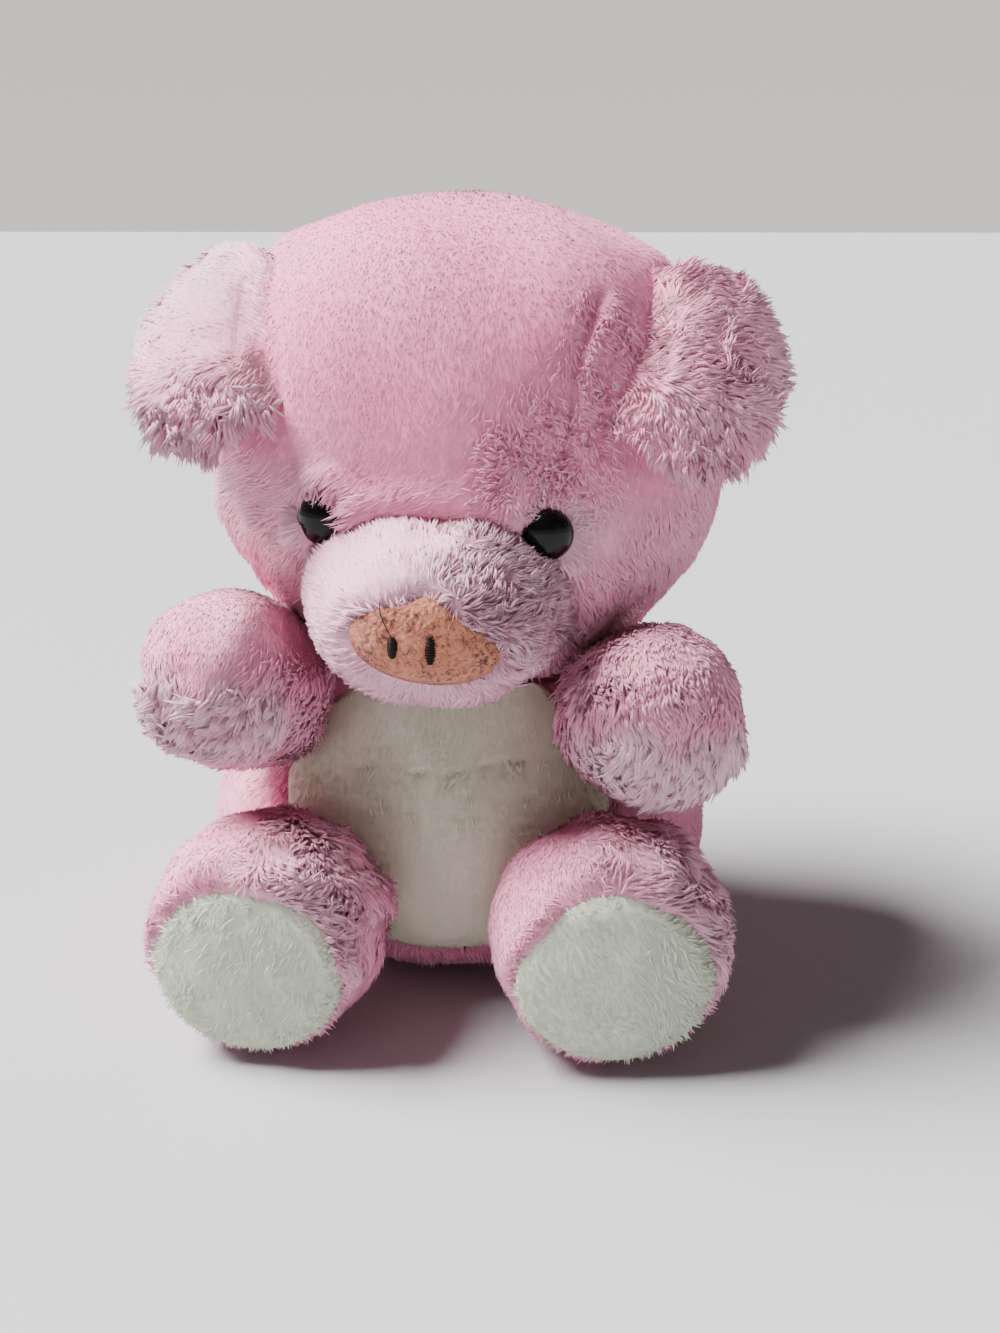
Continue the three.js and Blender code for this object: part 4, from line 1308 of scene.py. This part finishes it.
def ear_look(side, face, points, normals):
    matrix = ear_matrix(side)
    own = EAR_PILE[side]
    local = seen_from(points, matrix)
    facing = normals @ matrix[:3, :3]
    x, _, z = local.T
    out = np.clip(side * x / EAR_WIDTH, 0, 1)
    low = smooth_step(-z, 0, 14)
    edge = smooth_step(out, 0.6, 0.95)
    root = smooth_step(side * x, -4, 9)
    nap = xyz(side * (0.9 - own["fall"] * low), 0, 0.15 - 1.4 * low + 0.3 * (z / 28))
    if side == RIGHT:
        away = np.hypot(x - 15, z - 8)
        round_way = xyz(z - 8, 0, 15 - x) / np.maximum(away, 1)[:, None]
        nap += 1.3 * round_way * bell(away / 9)[:, None]
    nap += (0.5 - 0.2 * low)[:, None] * swirl(local, 10, 91)
    outward = smooth_step(facing[:, 1] * face, -0.3, 0.2)
    if side == LEFT:
        root = most(root, low)
        clumps = smooth_step(-z + 3 * wander(local, 12, 96), -6, 24)
        rough = 0.18 + 0.75 * clumps * root + 0.4 * edge
    else:
        clumps = smooth_step(x, 2, 16)
        rough = 0.36 + 0.12 * wander(local, 12, 95) + 0.4 * np.maximum(edge, clumps) * root
    tone = 0.5 + 0.06 * wander(local, 14, 94) + 0.15 * edge - 0.1 * (1 - root)
    if side == LEFT:
        tone += 0.28 * smooth_step(z, -4, 22) + 0.22 * low + 0.1 * edge
    else:
        tone += 0.14 * bell((x - 10) / 10, (z + 8) / 12)
    if face > 0:
        rough = np.maximum(rough * 0.85, 0.3 + 0.1 * wander(local, 12, 97))
    clear = face * 0.5 - EAR_ROOT[side]
    sewn = smooth_step(side * x, clear, clear + 4)
    style = style_of(points, rough, density=1.15 * outward * sewn, nap=turned_in(nap, matrix), tone=tone)
    rim = smooth_step(np.hypot((side * x - 12) / 17, (z - EAR_RISE) / 28), 0.66, 0.9)
    slope = 1 - smooth_step(facing[:, 1] * face, 0.3, 0.9)
    # veil lifts the roots, with less painted shade, along the edge and low down, and the locks' painted shade
    # (depth) fades at the edge.
    altered(
        style, length=own["length"] * np.maximum(0.25 * edge, low ** 1.5) * root, lock=own["lock"] * low,
        width=own["width"] * low, gather=0.15 * low, patchy=0.08 * low,
        soft=-0.65 * most(rim, slope, low ** 2), veil=np.maximum(0.45 * edge, 0.2 * low),
    )
    style["depth"] *= 1 - 0.9 * edge
    if face > 0:
        style["length"] *= 0.35 + 0.65 * smooth_step(side * x, -1, 8)
    return style


class PLUSHPIG_OT_ears(Operator):
    """Make the front and back panels of both ears"""

    bl_idname = "plush_pig.ears"
    bl_label = "Ears"

    def execute(self, context):
        for side in (LEFT, RIGHT):
            for face, place in ((-1, "front"), (1, "back")):
                name = f"ear_{SIDE_NAMES[side]}_{place}"
                seed = 110 + 4 * (side > 0) + (face > 0)
                look = partial(ear_look, side, face)
                ear = plush_piece(name + "_plush", ear_form(side, face), look, "pink", seed)
                declare(ear, name, f"ear_{SIDE_NAMES[side]}")
        return {"FINISHED"}


# Body


def torso_profile():
    return np.array([(high * TORSO_HEIGHT, wide * TORSO_HALF_WIDTH) for wide, high in TORSO_PROFILE])


def torso_surface(directions):
    """Reach of the body from its middle, along directions in the row frame."""
    stretched = directions * np.array([1, TORSO_HALF_WIDTH / TORSO_HALF_DEPTH, 1])
    ways = unit(stretched)
    reach_at = turned_reach(torso_profile(), TORSO_CENTRE[2])
    reach = reach_at(np.arctan2(np.hypot(ways[:, 0], ways[:, 1]), ways[:, 2]))
    return reach / lengths(stretched)


def belly_reach():
    half, low, middle, high = BELLY_HALF_WIDTH, BELLY_LOW, BELLY_MIDDLE, BELLY_HIGH
    bend = low + (middle - low) / 3
    right = bent_outline([(0, low), (half / 2, low), (half, bend), (half, middle)])
    top = np.linspace((half, middle), (half / 2, high), 12)
    cap = np.linspace((half / 2, high), (0, high), 6)
    line = np.concatenate([right, top, cap])
    line = np.concatenate([line, (line * (-1, 1))[::-1]])
    return outline_reach(line, (0, middle))


def beyond_belly(points):
    """Distance outside the belly panel's outline, seen from the front."""
    flat = points[:, [0, 2]] - (0, BELLY_MIDDLE)
    away = np.hypot(*flat.T) - belly_reach()(np.arctan2(flat[:, 1], flat[:, 0]))
    return np.where(points[:, 1] < 0, away, 99.0)


def torso_form():
    form = fitted_form(torso_surface, ("torso_skin", "belly_panel", "torso_stuffing"), TORSO_CENTRE)
    points = form.points
    sink = 0.5 * wander(points, 30, 121) + 0.2 * wander(points, 12, 122)
    sink -= 1.0 * bell(beyond_belly(points) / 1.6)
    sink *= smooth_step(points[:, 2], 0.5, 6)
    swelled(form, sink)
    form.points[:, 2] = np.maximum(form.points[:, 2], 0)
    form.refresh()
    return form


def clear_of_limbs(points):
    """0 in the sockets of the limbs and the head, 1 clear of them."""
    share = np.ones(len(points))
    for kind, size in (("arm", ARM), ("leg", LEG)):
        for side in (LEFT, RIGHT):
            away = lengths(points - hinge(f"{kind}_swing_{SIDE_NAMES[side]}"))
            share *= smooth_step(away, size["ball"] + 0.5, size["ball"] + 2.5)
    return share * smooth_step(lengths(points - HEAD_CENTRE), HEAD_ROOM, HEAD_ROOM + 1.5)


def torso_look(points, normals):
    x, y, z = points.T
    nap = xyz(0.3 * x / 60, 0, -1) + 0.3 * swirl(points, 24, 131)
    beyond = beyond_belly(points)
    front = smooth_step(-y, -20, 10)
    density = (0.7 + 0.2 * front) * clear_of_limbs(points) * smooth_step(beyond, -0.8, 0.4)
    floor_share = smooth_step(z, 0.3, 6)
    density *= 0.3 + 0.7 * floor_share
    rough = 0.2 + 0.08 * wander(points, 28, 134) + 0.25 * bell(beyond / 4)
    tone = 0.27 + 0.06 * wander(points, 36, 135)
    style = style_of(points, rough, short=0.75 + 0.25 * floor_share, density=density, nap=nap, tone=tone)
    style["lift"] *= floor_share
    return style


class PLUSHPIG_OT_torso(Operator):
    """Make the body with its sockets for the limbs"""

    bl_idname = "plush_pig.torso"
    bl_label = "Body"

    def execute(self, context):
        torso = plush_piece("torso_plush", torso_form(), torso_look, "pink", seed=103)
        declare(torso, "torso_skin", "torso")
        return {"FINISHED"}


def belly_partings(points):
    """How much the nap parts here, along the fine lines across the belly, 0 to 1."""
    share = np.zeros(len(points))
    for level, deep, slant, seed in ((57, 1.0, 0.05, 5), (51, 0.7, -0.03, 6), (47, 0.6, -0.1, 7)):
        line = level + slant * points[:, 0] + 1.6 * wander(points * (1, 0, 0), 32, 140 + seed)
        near = deep * bell((points[:, 2] - line) / 0.8)
        share = most(share, near * smooth_step(32 - np.abs(points[:, 0] - 4), 0, 12))
    return share * smooth_step(wander(points, 9, 156), -0.9, 0.3)


def belly_form():
    through, angle, ring, ways, triangles = round_disc()
    reach = belly_reach()(angle) - 0.3
    flat = ways * (reach * ring)[:, None] + (0, BELLY_MIDDLE)
    flat[:, 1] = np.where(flat[:, 1] > BELLY_NECK, BELLY_NECK + (flat[:, 1] - BELLY_NECK) * 0.42, flat[:, 1])
    wide = np.interp(flat[:, 1], *torso_profile().T)
    depth = TORSO_HALF_DEPTH / TORSO_HALF_WIDTH * np.sqrt(np.maximum(wide ** 2 - flat[:, 0] ** 2, 16))
    points = xyz(flat[:, 0], -depth, flat[:, 1])
    ways = unit(points - TORSO_CENTRE)
    points = TORSO_CENTRE + ways * torso_surface(ways)[:, None]
    outward = unit(points * (1, (TORSO_HALF_WIDTH / TORSO_HALF_DEPTH) ** 2, 0))
    pillow = 1.3 * np.abs(through) ** 0.5 + 0.35 * wander(points, 22, 141) - 0.8 * belly_partings(points)
    grow = np.where(through < 0, pillow, -0.8 - 1.2 * through)
    points = points + outward * grow[:, None]
    from_head = points - HEAD_CENTRE
    away = lengths(from_head)
    points = HEAD_CENTRE + from_head * (np.maximum(away, HEAD_ROOM + 0.2) / away)[:, None]
    return Form(points, triangles)


def belly_look(points, normals):
    x, _, z = points.T
    nap = xyz(0.1 * x / 40, 0, -1) + 0.3 * swirl(points, 20, 151)
    density = smooth_step(-normals[:, 1], -0.2, 0.3) * clear_of_limbs(points)
    tone = 0.5 + 0.08 * wander(points, 18, 154)
    rough = most(
        0.1 + 0.08 * smooth_step(wander(points, 22, 155), 0.2, 1.2),
        0.26 * smooth_step(x, 8, 26) * bell((z - 52) / 10), 0.65 * belly_partings(points),
    )
    return style_of(points, rough, short=0.7, density=density, nap=nap, tone=tone)


class PLUSHPIG_OT_belly(Operator):
    """Make the cream belly panel"""

    bl_idname = "plush_pig.belly"
    bl_label = "Belly"

    def execute(self, context):
        belly = plush_piece("belly_plush", belly_form(), belly_look, "cream", seed=104)
        declare(belly, "belly_panel", "torso")
        return {"FINISHED"}


# Limbs


def limb_matrix(kind, size, side):
    upward = size["upward"] - side * size["uneven"]
    turn = Matrix.Rotation(side * size["outward"], 4, "Z") @ Matrix.Rotation(-upward, 4, "X")
    return matrix_of(turn, hinge(f"{kind}_swing_{SIDE_NAMES[side]}"))


def limb_form(kind, size, side, nodes):
    matrix = limb_matrix(kind, size, side)
    profile = [(along * size["reach"], wide * size["radius"]) for along, wide in size["profile"]]
    profile = [(profile[0][0], 0.0), *profile, (size["reach"], 0.0)]
    origin = size["reach"] * LIMB_MIDDLE
    reach_at = turned_reach(profile, origin)

    def reach(ways):
        return reach_at(np.arctan2(np.hypot(ways[:, 0], ways[:, 2]), -ways[:, 1]))

    centre = placed(np.array([[0, -origin, 0]]), matrix)[0]
    return fitted_form(reach, nodes, centre, matrix[:3, :3])


def sole_ring(local):
    """Distance from the middle of a sole's outline, in the leg's space, as if it were round."""
    return np.hypot(local[:, 0], (local[:, 2] + SOLE_DROP) / SOLE_SQUASH)


def limb_piece(kind, size, side, look, seed):
    name = f"{kind}_skin_{SIDE_NAMES[side]}"
    nodes = [name, f"{kind}_stuffing_{SIDE_NAMES[side]}"]
    if kind == "leg":
        nodes.append(f"sole_{SIDE_NAMES[side]}")
    form = limb_form(kind, size, side, nodes)
    local = seen_from(form.points, limb_matrix(kind, size, side))
    swell = 0.6 * wander(form.points, 20, 160 + seed)
    if kind == "leg":
        inside = smooth_step(-sole_ring(local) / SOLE_SPREAD, -SOLE_RADIUS, -SOLE_RADIUS + 3)
        swell -= 1.3 * np.where(-local[:, 1] > LEG["reach"] * SOLE_PLACE, inside, 0)
    else:
        fold = smooth_step(-local[:, 1], 24, 40) * bell((local[:, 2] + 3 + wander(local, 16, 7)) / 3)
        swell -= (0.7 if side == LEFT else 0.3) * fold
    swelled(form, swell)
    form.points[:, 2] = np.maximum(form.points[:, 2], 0.3)
    form.refresh()
    piece = plush_piece(f"{kind}_plush_{SIDE_NAMES[side]}", form, look, "pink", seed)
    declare(piece, name, f"{kind}_{SIDE_NAMES[side]}")


def arm_look(side, points, normals):
    matrix = limb_matrix("arm", ARM, side)
    local = seen_from(points, matrix)
    x, y, z = local.T
    along = np.clip(-y / ARM["reach"], 0, 1)
    paw = smooth_step(along, 0.5, 0.85)
    level = z + 2.5 * wander(local, 14, 8)
    low = smooth_step(-level, -1, 10)
    inner = smooth_step(-side * x, 4, 16)
    rough = 0.85 * np.maximum(low * (0.5 + 0.5 * paw), 0.6 * inner * smooth_step(z, 13, -2))
    if side == RIGHT:
        open_top = smooth_step(z + 0.5 * x, 2, 15)
        tufted = (0.7 - 0.35 * open_top) * (0.85 + 0.25 * wander(local, 10, 170))
        rough = most(rough, tufted * smooth_step(along, 0.2, 0.5))
    rough = 0.06 + rough
    nap = xyz(0, -1, -0.35 - 1.1 * paw) + xyz(z, 0, -x) / 14 * (paw * low * 0.9)[:, None]
    nap += swirl(local, 11, 171) * (0.08 + 0.8 * rough)[:, None]
    root = smooth_step(along, 0.02, 0.2)
    sewn = smooth_step(lengths(points - HEAD_CENTRE), HEAD_ROOM - 0.5, HEAD_ROOM + 2.5)
    density = 1.1 * (0.15 + 0.85 * root) * sewn
    tone = 0.18 + 0.66 * low * (0.4 + 0.6 * paw) + 0.1 * paw + 0.04 * wander(local, 20, 174 + side)
    tone += 0.2 * smooth_step(along, 0.3, 0.6) if side == RIGHT else 0.04
    style = style_of(
        points, rough, short=0.6 + 0.4 * root, density=density, nap=turned_in(nap, matrix), tone=tone,
    )
    end = low * paw
    altered(
        style, length=0.9 * end, width=0.55 * end, lock=0.35 * end, gather=0.15 * end, patchy=0.14 * end,
    )
    # depth adds painted shade to the locks of the left paw; on the right arm veil lifts the roots, with less
    # painted shade.
    if side == LEFT:
        return altered(style, depth=0.3 * end)
    return altered(style, veil=0.15 + 0.15 * end, length=-1.2 * open_top)


class PLUSHPIG_OT_arms(Operator):
    """Make both arms with their tufted paws"""

    bl_idname = "plush_pig.arms"
    bl_label = "Arms"

    def execute(self, context):
        for side, seed in ((LEFT, 105), (RIGHT, 106)):
            limb_piece("arm", ARM, side, partial(arm_look, side), seed)
        return {"FINISHED"}


def leg_look(side, points, normals):
    matrix = limb_matrix("leg", LEG, side)
    local = seen_from(points, matrix)
    x, y, z = local.T
    along = np.clip(-y / LEG["reach"], 0, 1)
    ring = sole_ring(local) / SOLE_SPREAD
    mussed = smooth_step(x, -8, 14) * smooth_step(z, -16, 8)
    if side == RIGHT:
        mussed = most(mussed, 0.5 * smooth_step(z, 12, 22) * smooth_step(x, -12, -2))
    rough = 0.1 + 0.72 * mussed * (0.75 + 0.3 * wander(local, 14, 180))
    rough = most(rough, 0.22 * smooth_step(along, 0.7, 0.95) * (1 + 0.5 * wander(local, 9, 186)))
    rim = smooth_step(along, 0.78, 0.95)
    outward = xyz(x, 0, z) / np.maximum(ring, 1)[:, None]
    nap = xyz(0.12 * x / 20, -1, 0.1 * z / 20 - 0.3) + outward * (1.3 * rim)[:, None]
    nap += np.array([0.6, 0, 0]) * mussed[:, None] + swirl(local, 11, 181) * (0.08 + 0.75 * rough)[:, None]
    end = -y > LEG["reach"] * SOLE_PLACE
    density = np.where(end, smooth_step(ring, SOLE_RADIUS - 2.0, SOLE_RADIUS - 1.0), 1)
    root = smooth_step(along, 0.0, 0.2)
    density *= 0.15 + 0.85 * root
    floor_share = smooth_step(points[:, 2], 0.5, 8)
    density *= 0.4 + 0.6 * floor_share
    tone = 0.24 + 0.3 * mussed + 0.22 * smooth_step(along, 0.4, 0.95) * (0.5 + 0.5 * mussed)
    tone += 0.04 * wander(local, 20, 184 + side)
    style = style_of(
        points, rough, short=0.7 + 0.3 * floor_share, density=density, nap=turned_in(nap, matrix), tone=tone,
    )
    style["lift"] *= 0.3 + 0.7 * floor_share
    # veil lifts the roots in the mussed patch, with less painted shade there.
    return altered(style, veil=0.16 * mussed)


class PLUSHPIG_OT_legs(Operator):
    """Make both legs"""

    bl_idname = "plush_pig.legs"
    bl_label = "Legs"

    def execute(self, context):
        for side, seed in ((LEFT, 107), (RIGHT, 108)):
            limb_piece("leg", LEG, side, partial(leg_look, side), seed)
        return {"FINISHED"}


def sole_form(side):
    through, _, ring, ways, triangles = round_disc()
    radius = (SOLE_RADIUS * SOLE_SPREAD - 0.3) * ring
    wide, along = np.array([(wide, along) for along, wide in LEG["profile"][:-6:-1]]).T
    face = np.interp(radius, (0, *wide * LEG["radius"]), (LEG["reach"], *along * LEG["reach"]))
    local = xyz(ways[:, 0] * radius, -face, ways[:, 1] * radius * SOLE_SQUASH - SOLE_DROP)
    pillow = 1.0 * np.abs(through) ** 0.5 + 0.2 * wander(local, 16, 190 + side)
    local[:, 1] -= np.where(through < 0, pillow, -1.5 - 1.5 * through)
    return Form(placed(local, limb_matrix("leg", LEG, side)), triangles)


def sole_look(side, points, normals):
    matrix = limb_matrix("leg", LEG, side)
    local = seen_from(points, matrix)
    facing = normals @ matrix[:3, :3]
    nap = np.array([0.5 * side, 0, -1]) + 0.4 * swirl(local, 14, 201)
    ring = sole_ring(local)
    rim = smooth_step(ring, SOLE_RADIUS - 5, SOLE_RADIUS - 1)
    outward = xyz(local[:, 0], 0, local[:, 2] + SOLE_DROP) / np.maximum(ring, 1)[:, None]
    nap = nap * (1 - rim[:, None]) + outward * rim[:, None]
    density = 1.1 * smooth_step(-facing[:, 1], -0.1, 0.3)
    tone = 0.5 + 0.08 * wander(local, 9, 204 + side)
    if side == LEFT:
        rough = 0.27 + 0.08 * wander(local, 10, 206)
    else:
        rough = 0.18 + 0.24 * smooth_step(local[:, 0], 0, 14)
    style = style_of(
        points, rough, short=0.7 - 0.15 * rim, density=density, nap=turned_in(nap, matrix), tone=tone,
    )
    return altered(style, width=-0.35 * rim, stray=0.5 * rim, lift=0.3 * rim)


class PLUSHPIG_OT_soles(Operator):
    """Make the cream soles of the feet"""

    bl_idname = "plush_pig.soles"
    bl_label = "Soles"

    def execute(self, context):
        for side, seed in ((LEFT, 114), (RIGHT, 115)):
            name = f"sole_{SIDE_NAMES[side]}"
            look = partial(sole_look, side)
            sole = plush_piece(name + "_plush", sole_form(side), look, "sole", seed)
            declare(sole, name, f"leg_{SIDE_NAMES[side]}")
        return {"FINISHED"}


# Tail, neck and what lies inside


def tail_form():
    root = hinge("tail_wag")
    share = TAIL_STRAIGHT / (TAIL_STRAIGHT + TAIL_CURL * TAIL_TURN)
    line = []
    for step in np.linspace(0, 1, 26):
        turned = max(0.0, step - share) / (1 - share) * TAIL_TURN
        along = TAIL_STRAIGHT * min(step / share, 1.0) + TAIL_CURL * math.sin(turned)
        line.append(root + (TAIL_RISE * turned / TAIL_TURN, along, TAIL_CURL * (1 - math.cos(turned))))
    holder = thread_mesh("tail_core", [line], TAIL_THICK, pile_of("pink"))
    bm = bmesh.new()
    bm.from_mesh(holder.data)
    bmesh.ops.subdivide_edges(bm, edges=bm.edges, cuts=1, use_grid_fill=True)
    bmesh.ops.triangulate(bm, faces=bm.faces)
    for _ in range(3):
        bmesh.ops.smooth_vert(
            bm, verts=bm.verts, factor=0.5, use_axis_x=True, use_axis_y=True, use_axis_z=True
        )
    points, triangles = arrays_of(bm)
    bpy.data.objects.remove(holder)
    return Form(points / MM, triangles)


def tail_look(points, normals):
    clear = smooth_step(points[:, 1] - hinge("tail_wag")[1], 0.5, 4)
    tone = 0.3 + 0.05 * wander(points, 8, 211)
    return style_of(points, 0.45, short=0.7, density=1.2 * clear, nap=(1, 0.3, 0.3), tone=tone)


def neck_look(points, normals):
    outward = unit((points - points.mean(0)) * (1, 1, 0))
    density = 1.2 * smooth_step((outward * normals).sum(1), -0.2, 0.3)
    style = style_of(points, 0.3, short=0.7, density=density, nap=outward - (0, 0, 0.5), tone=0.15)
    return altered(style, stray=0.3)


class PLUSHPIG_OT_tail(Operator):
    """Make the short curled tail"""

    bl_idname = "plush_pig.tail"
    bl_label = "Tail"

    def execute(self, context):
        tail = plush_piece("tail_plush", tail_form(), tail_look, "pink", seed=116)
        declare(tail, "tail", "tail")
        return {"FINISHED"}


def inner_material(name, colour, scale, bump_height, roughness=0.92):
    """Plain cloth, fibre or plastic for what lies under the pile."""
    material, tree, shader = node_material(name)
    weave = textured(tree, "Wave", {"Scale": scale, "Distortion": 4, "Detail": 3})
    dark = tuple(0.7 * c for c in colour)
    tree.links.new(mixed(tree, weave.outputs["Fac"], dark, colour), shader.inputs["Base Color"])
    bumped(tree, shader, weave.outputs["Fac"], 0.5, bump_height)
    shader.inputs["Roughness"].default_value = roughness
    return material


class PLUSHPIG_OT_neck(Operator):
    """Make the gathered seam between head and body, with its own short pile"""

    bl_idname = "plush_pig.neck"
    bl_label = "Neck Seam"

    def execute(self, context):
        low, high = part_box("neck_seam_band")
        radius = (high.x - low.x) / 2 - SEAM_INSET * MM
        bm = bmesh.new()
        ring = bmesh.ops.create_circle(bm, segments=14, radius=1.0)["verts"]
        bmesh.ops.scale(bm, vec=(*(half * MM for half in SEAM_HALF), 1), verts=ring)
        bmesh.ops.rotate(bm, cent=(0, 0, 0), matrix=Matrix.Rotation(math.pi / 2, 3, "X"), verts=ring)
        bmesh.ops.translate(bm, vec=(radius, 0, 0), verts=ring)
        spun(bm, bm.verts[:] + bm.edges[:], steps=160)
        for vert in bm.verts:
            angle = math.atan2(vert.co.y, vert.co.x)
            gather = MM * (0.22 * math.sin(31 * angle) + 0.12 * math.sin(53 * angle + 1))
            vert.co.z += gather
            vert.co.xy *= 1 + gather / radius
        bmesh.ops.translate(bm, vec=(low + high) / 2, verts=bm.verts)
        bmesh.ops.triangulate(bm, faces=bm.faces)
        triangles = np.array(steady_faces(bm))
        points, _ = arrays_of(bm)
        form = Form(points / MM, triangles)
        seam = plush_piece("neck_seam", form, neck_look, "pink", seed=117)
        declare(seam, "neck_seam_band", "neck")
        return {"FINISHED"}


class PLUSHPIG_OT_inside(Operator):
    """Give the filling, the pellet pouch and the eyes' washers their materials"""

    bl_idname = "plush_pig.inside"
    bl_label = "Inside"

    def execute(self, context):
        inner = {
            "stuffing": inner_material("fibre_filling", colour_of("efece2"), 260, 0.0006),
            "pellet_pouch": inner_material("pouch_cloth", colour_of("b9b4a6"), 700, 0.0002),
            "washer": inner_material("washer_plastic", colour_of("e6e4dc"), 40, 0.00002, 0.45),
        }
        for name, node in frame["nodes"].items():
            for word, material in inner.items():
                if word in name:
                    node.data.materials.clear()
                    node.data.materials.append(material)
        return {"FINISHED"}


# Stage


def camera_place():
    forward = Vector((-math.sin(CAMERA_SIDE), math.cos(CAMERA_SIDE), 0))
    right = Vector((math.cos(CAMERA_SIDE), math.sin(CAMERA_SIDE), 0))
    shift = CAMERA_SHIFT / CAMERA_FOCAL * CAMERA_AWAY
    place = -forward * CAMERA_AWAY + Vector((0, 0, CAMERA_HEIGHT)) + right * shift
    return place, forward * math.cos(CAMERA_PITCH) - Vector((0, 0, math.sin(CAMERA_PITCH)))


def placed_light(name, kind, place, power, colour):
    light = bpy.data.lights.new(name, kind)
    light.energy = power
    light.color = colour
    holder = new_object(name, light)
    holder.location = place
    holder.rotation_euler = (Vector(LIGHT_TARGET) - Vector(place)).to_track_quat("-Z", "Y").to_euler()
    return light


class PLUSHPIG_OT_stage(Operator):
    """Make the floor, the lights and the camera"""

    bl_idname = "plush_pig.stage"
    bl_label = "Stage"

    def execute(self, context):
        stage = context.scene.plush_pig_stage
        bm = bmesh.new()
        bmesh.ops.create_grid(bm, x_segments=8, y_segments=8, size=12.0)
        mesh = bpy.data.meshes.new("floor")
        bm.to_mesh(mesh)
        bm.free()
        material, _, shader = node_material("floor_plain")
        set_values(shader, {"Base Color": (*stage.floor, 1), "Roughness": 0.6})
        mesh.materials.append(material)
        new_object("floor", mesh)

        world = bpy.data.worlds.new("surround")
        world.use_nodes = True
        background = world.node_tree.nodes["Background"]
        around = world.node_tree.nodes.new("ShaderNodeTexCoord").outputs["Generated"]
        split = world.node_tree.nodes.new("ShaderNodeSeparateXYZ")
        world.node_tree.links.new(around, split.inputs["Vector"])
        high = ramped(world.node_tree, split.outputs["Z"], ((0.0, 1.0), (0.12, 0.95), (0.3, 0.1), (1.0, 0.1)))
        light = mixed(world.node_tree, high, (0, 0, 0), stage.surround[:])
        world.node_tree.links.new(light, background.inputs["Color"])
        background.inputs["Strength"].default_value = stage.surround_power
        context.scene.world = world
        key = placed_light("key", "SUN", (-0.62, 0.05, 0.9), stage.key_power, (1.0, 0.98, 0.96))
        key.angle = math.radians(34)
        fill = placed_light("fill", "AREA", (0.7, -0.6, 0.35), stage.fill_power, (0.97, 0.98, 1.0))
        fill.shape = "DISK"
        fill.size = 0.6

        place, look = camera_place()
        camera = bpy.data.cameras.new("camera")
        camera.sensor_fit = "AUTO"
        camera.sensor_width = 36
        camera.lens = 36 * CAMERA_FOCAL / FRAME_TALL
        camera.clip_start = 0.01
        holder = new_object("camera", camera)
        holder.location = place
        holder.rotation_euler = look.to_track_quat("-Z", "Y").to_euler()
        context.scene.camera = holder
        return {"FINISHED"}


PIECES = (
    PLUSHPIG_OT_stage, PLUSHPIG_OT_head, PLUSHPIG_OT_muzzle, PLUSHPIG_OT_snout, PLUSHPIG_OT_nostrils,
    PLUSHPIG_OT_eyes, PLUSHPIG_OT_ears, PLUSHPIG_OT_torso, PLUSHPIG_OT_belly, PLUSHPIG_OT_arms,
    PLUSHPIG_OT_legs, PLUSHPIG_OT_soles, PLUSHPIG_OT_tail, PLUSHPIG_OT_neck, PLUSHPIG_OT_inside,
)
GROUPS = (
    ("plush_pig_cloth", PlushPigCloth), ("plush_pig_colours", PlushPigColours),
    ("plush_pig_stage", PlushPigStage),
)


class PLUSHPIG_PT_pieces(Panel):
    """Lists the pig's sizes, colours and pieces"""

    bl_idname = "PLUSHPIG_PT_pieces"
    bl_label = "Plush Pig"
    bl_space_type = "VIEW_3D"
    bl_region_type = "UI"
    bl_category = "Plush Pig"

    def draw(self, context):
        for name, group in GROUPS:
            column = self.layout.column()
            for field in group.__annotations__:
                column.prop(getattr(context.scene, name), field)
        for piece in PIECES:
            self.layout.operator(piece.bl_idname)


def register():
    for name, group in GROUPS:
        bpy.utils.register_class(group)
        setattr(bpy.types.Scene, name, PointerProperty(type=group))
    for piece in (*PIECES, PLUSHPIG_PT_pieces):
        bpy.utils.register_class(piece)


def unregister():
    for piece in (PLUSHPIG_PT_pieces, *reversed(PIECES)):
        bpy.utils.unregister_class(piece)
    for name, group in reversed(GROUPS):
        delattr(bpy.types.Scene, name)
        bpy.utils.unregister_class(group)


def main():
    register()
    for piece in PIECES:
        family, action = piece.bl_idname.split(".")
        getattr(getattr(bpy.ops, family), action)()


if __name__ == "__main__":
    main()
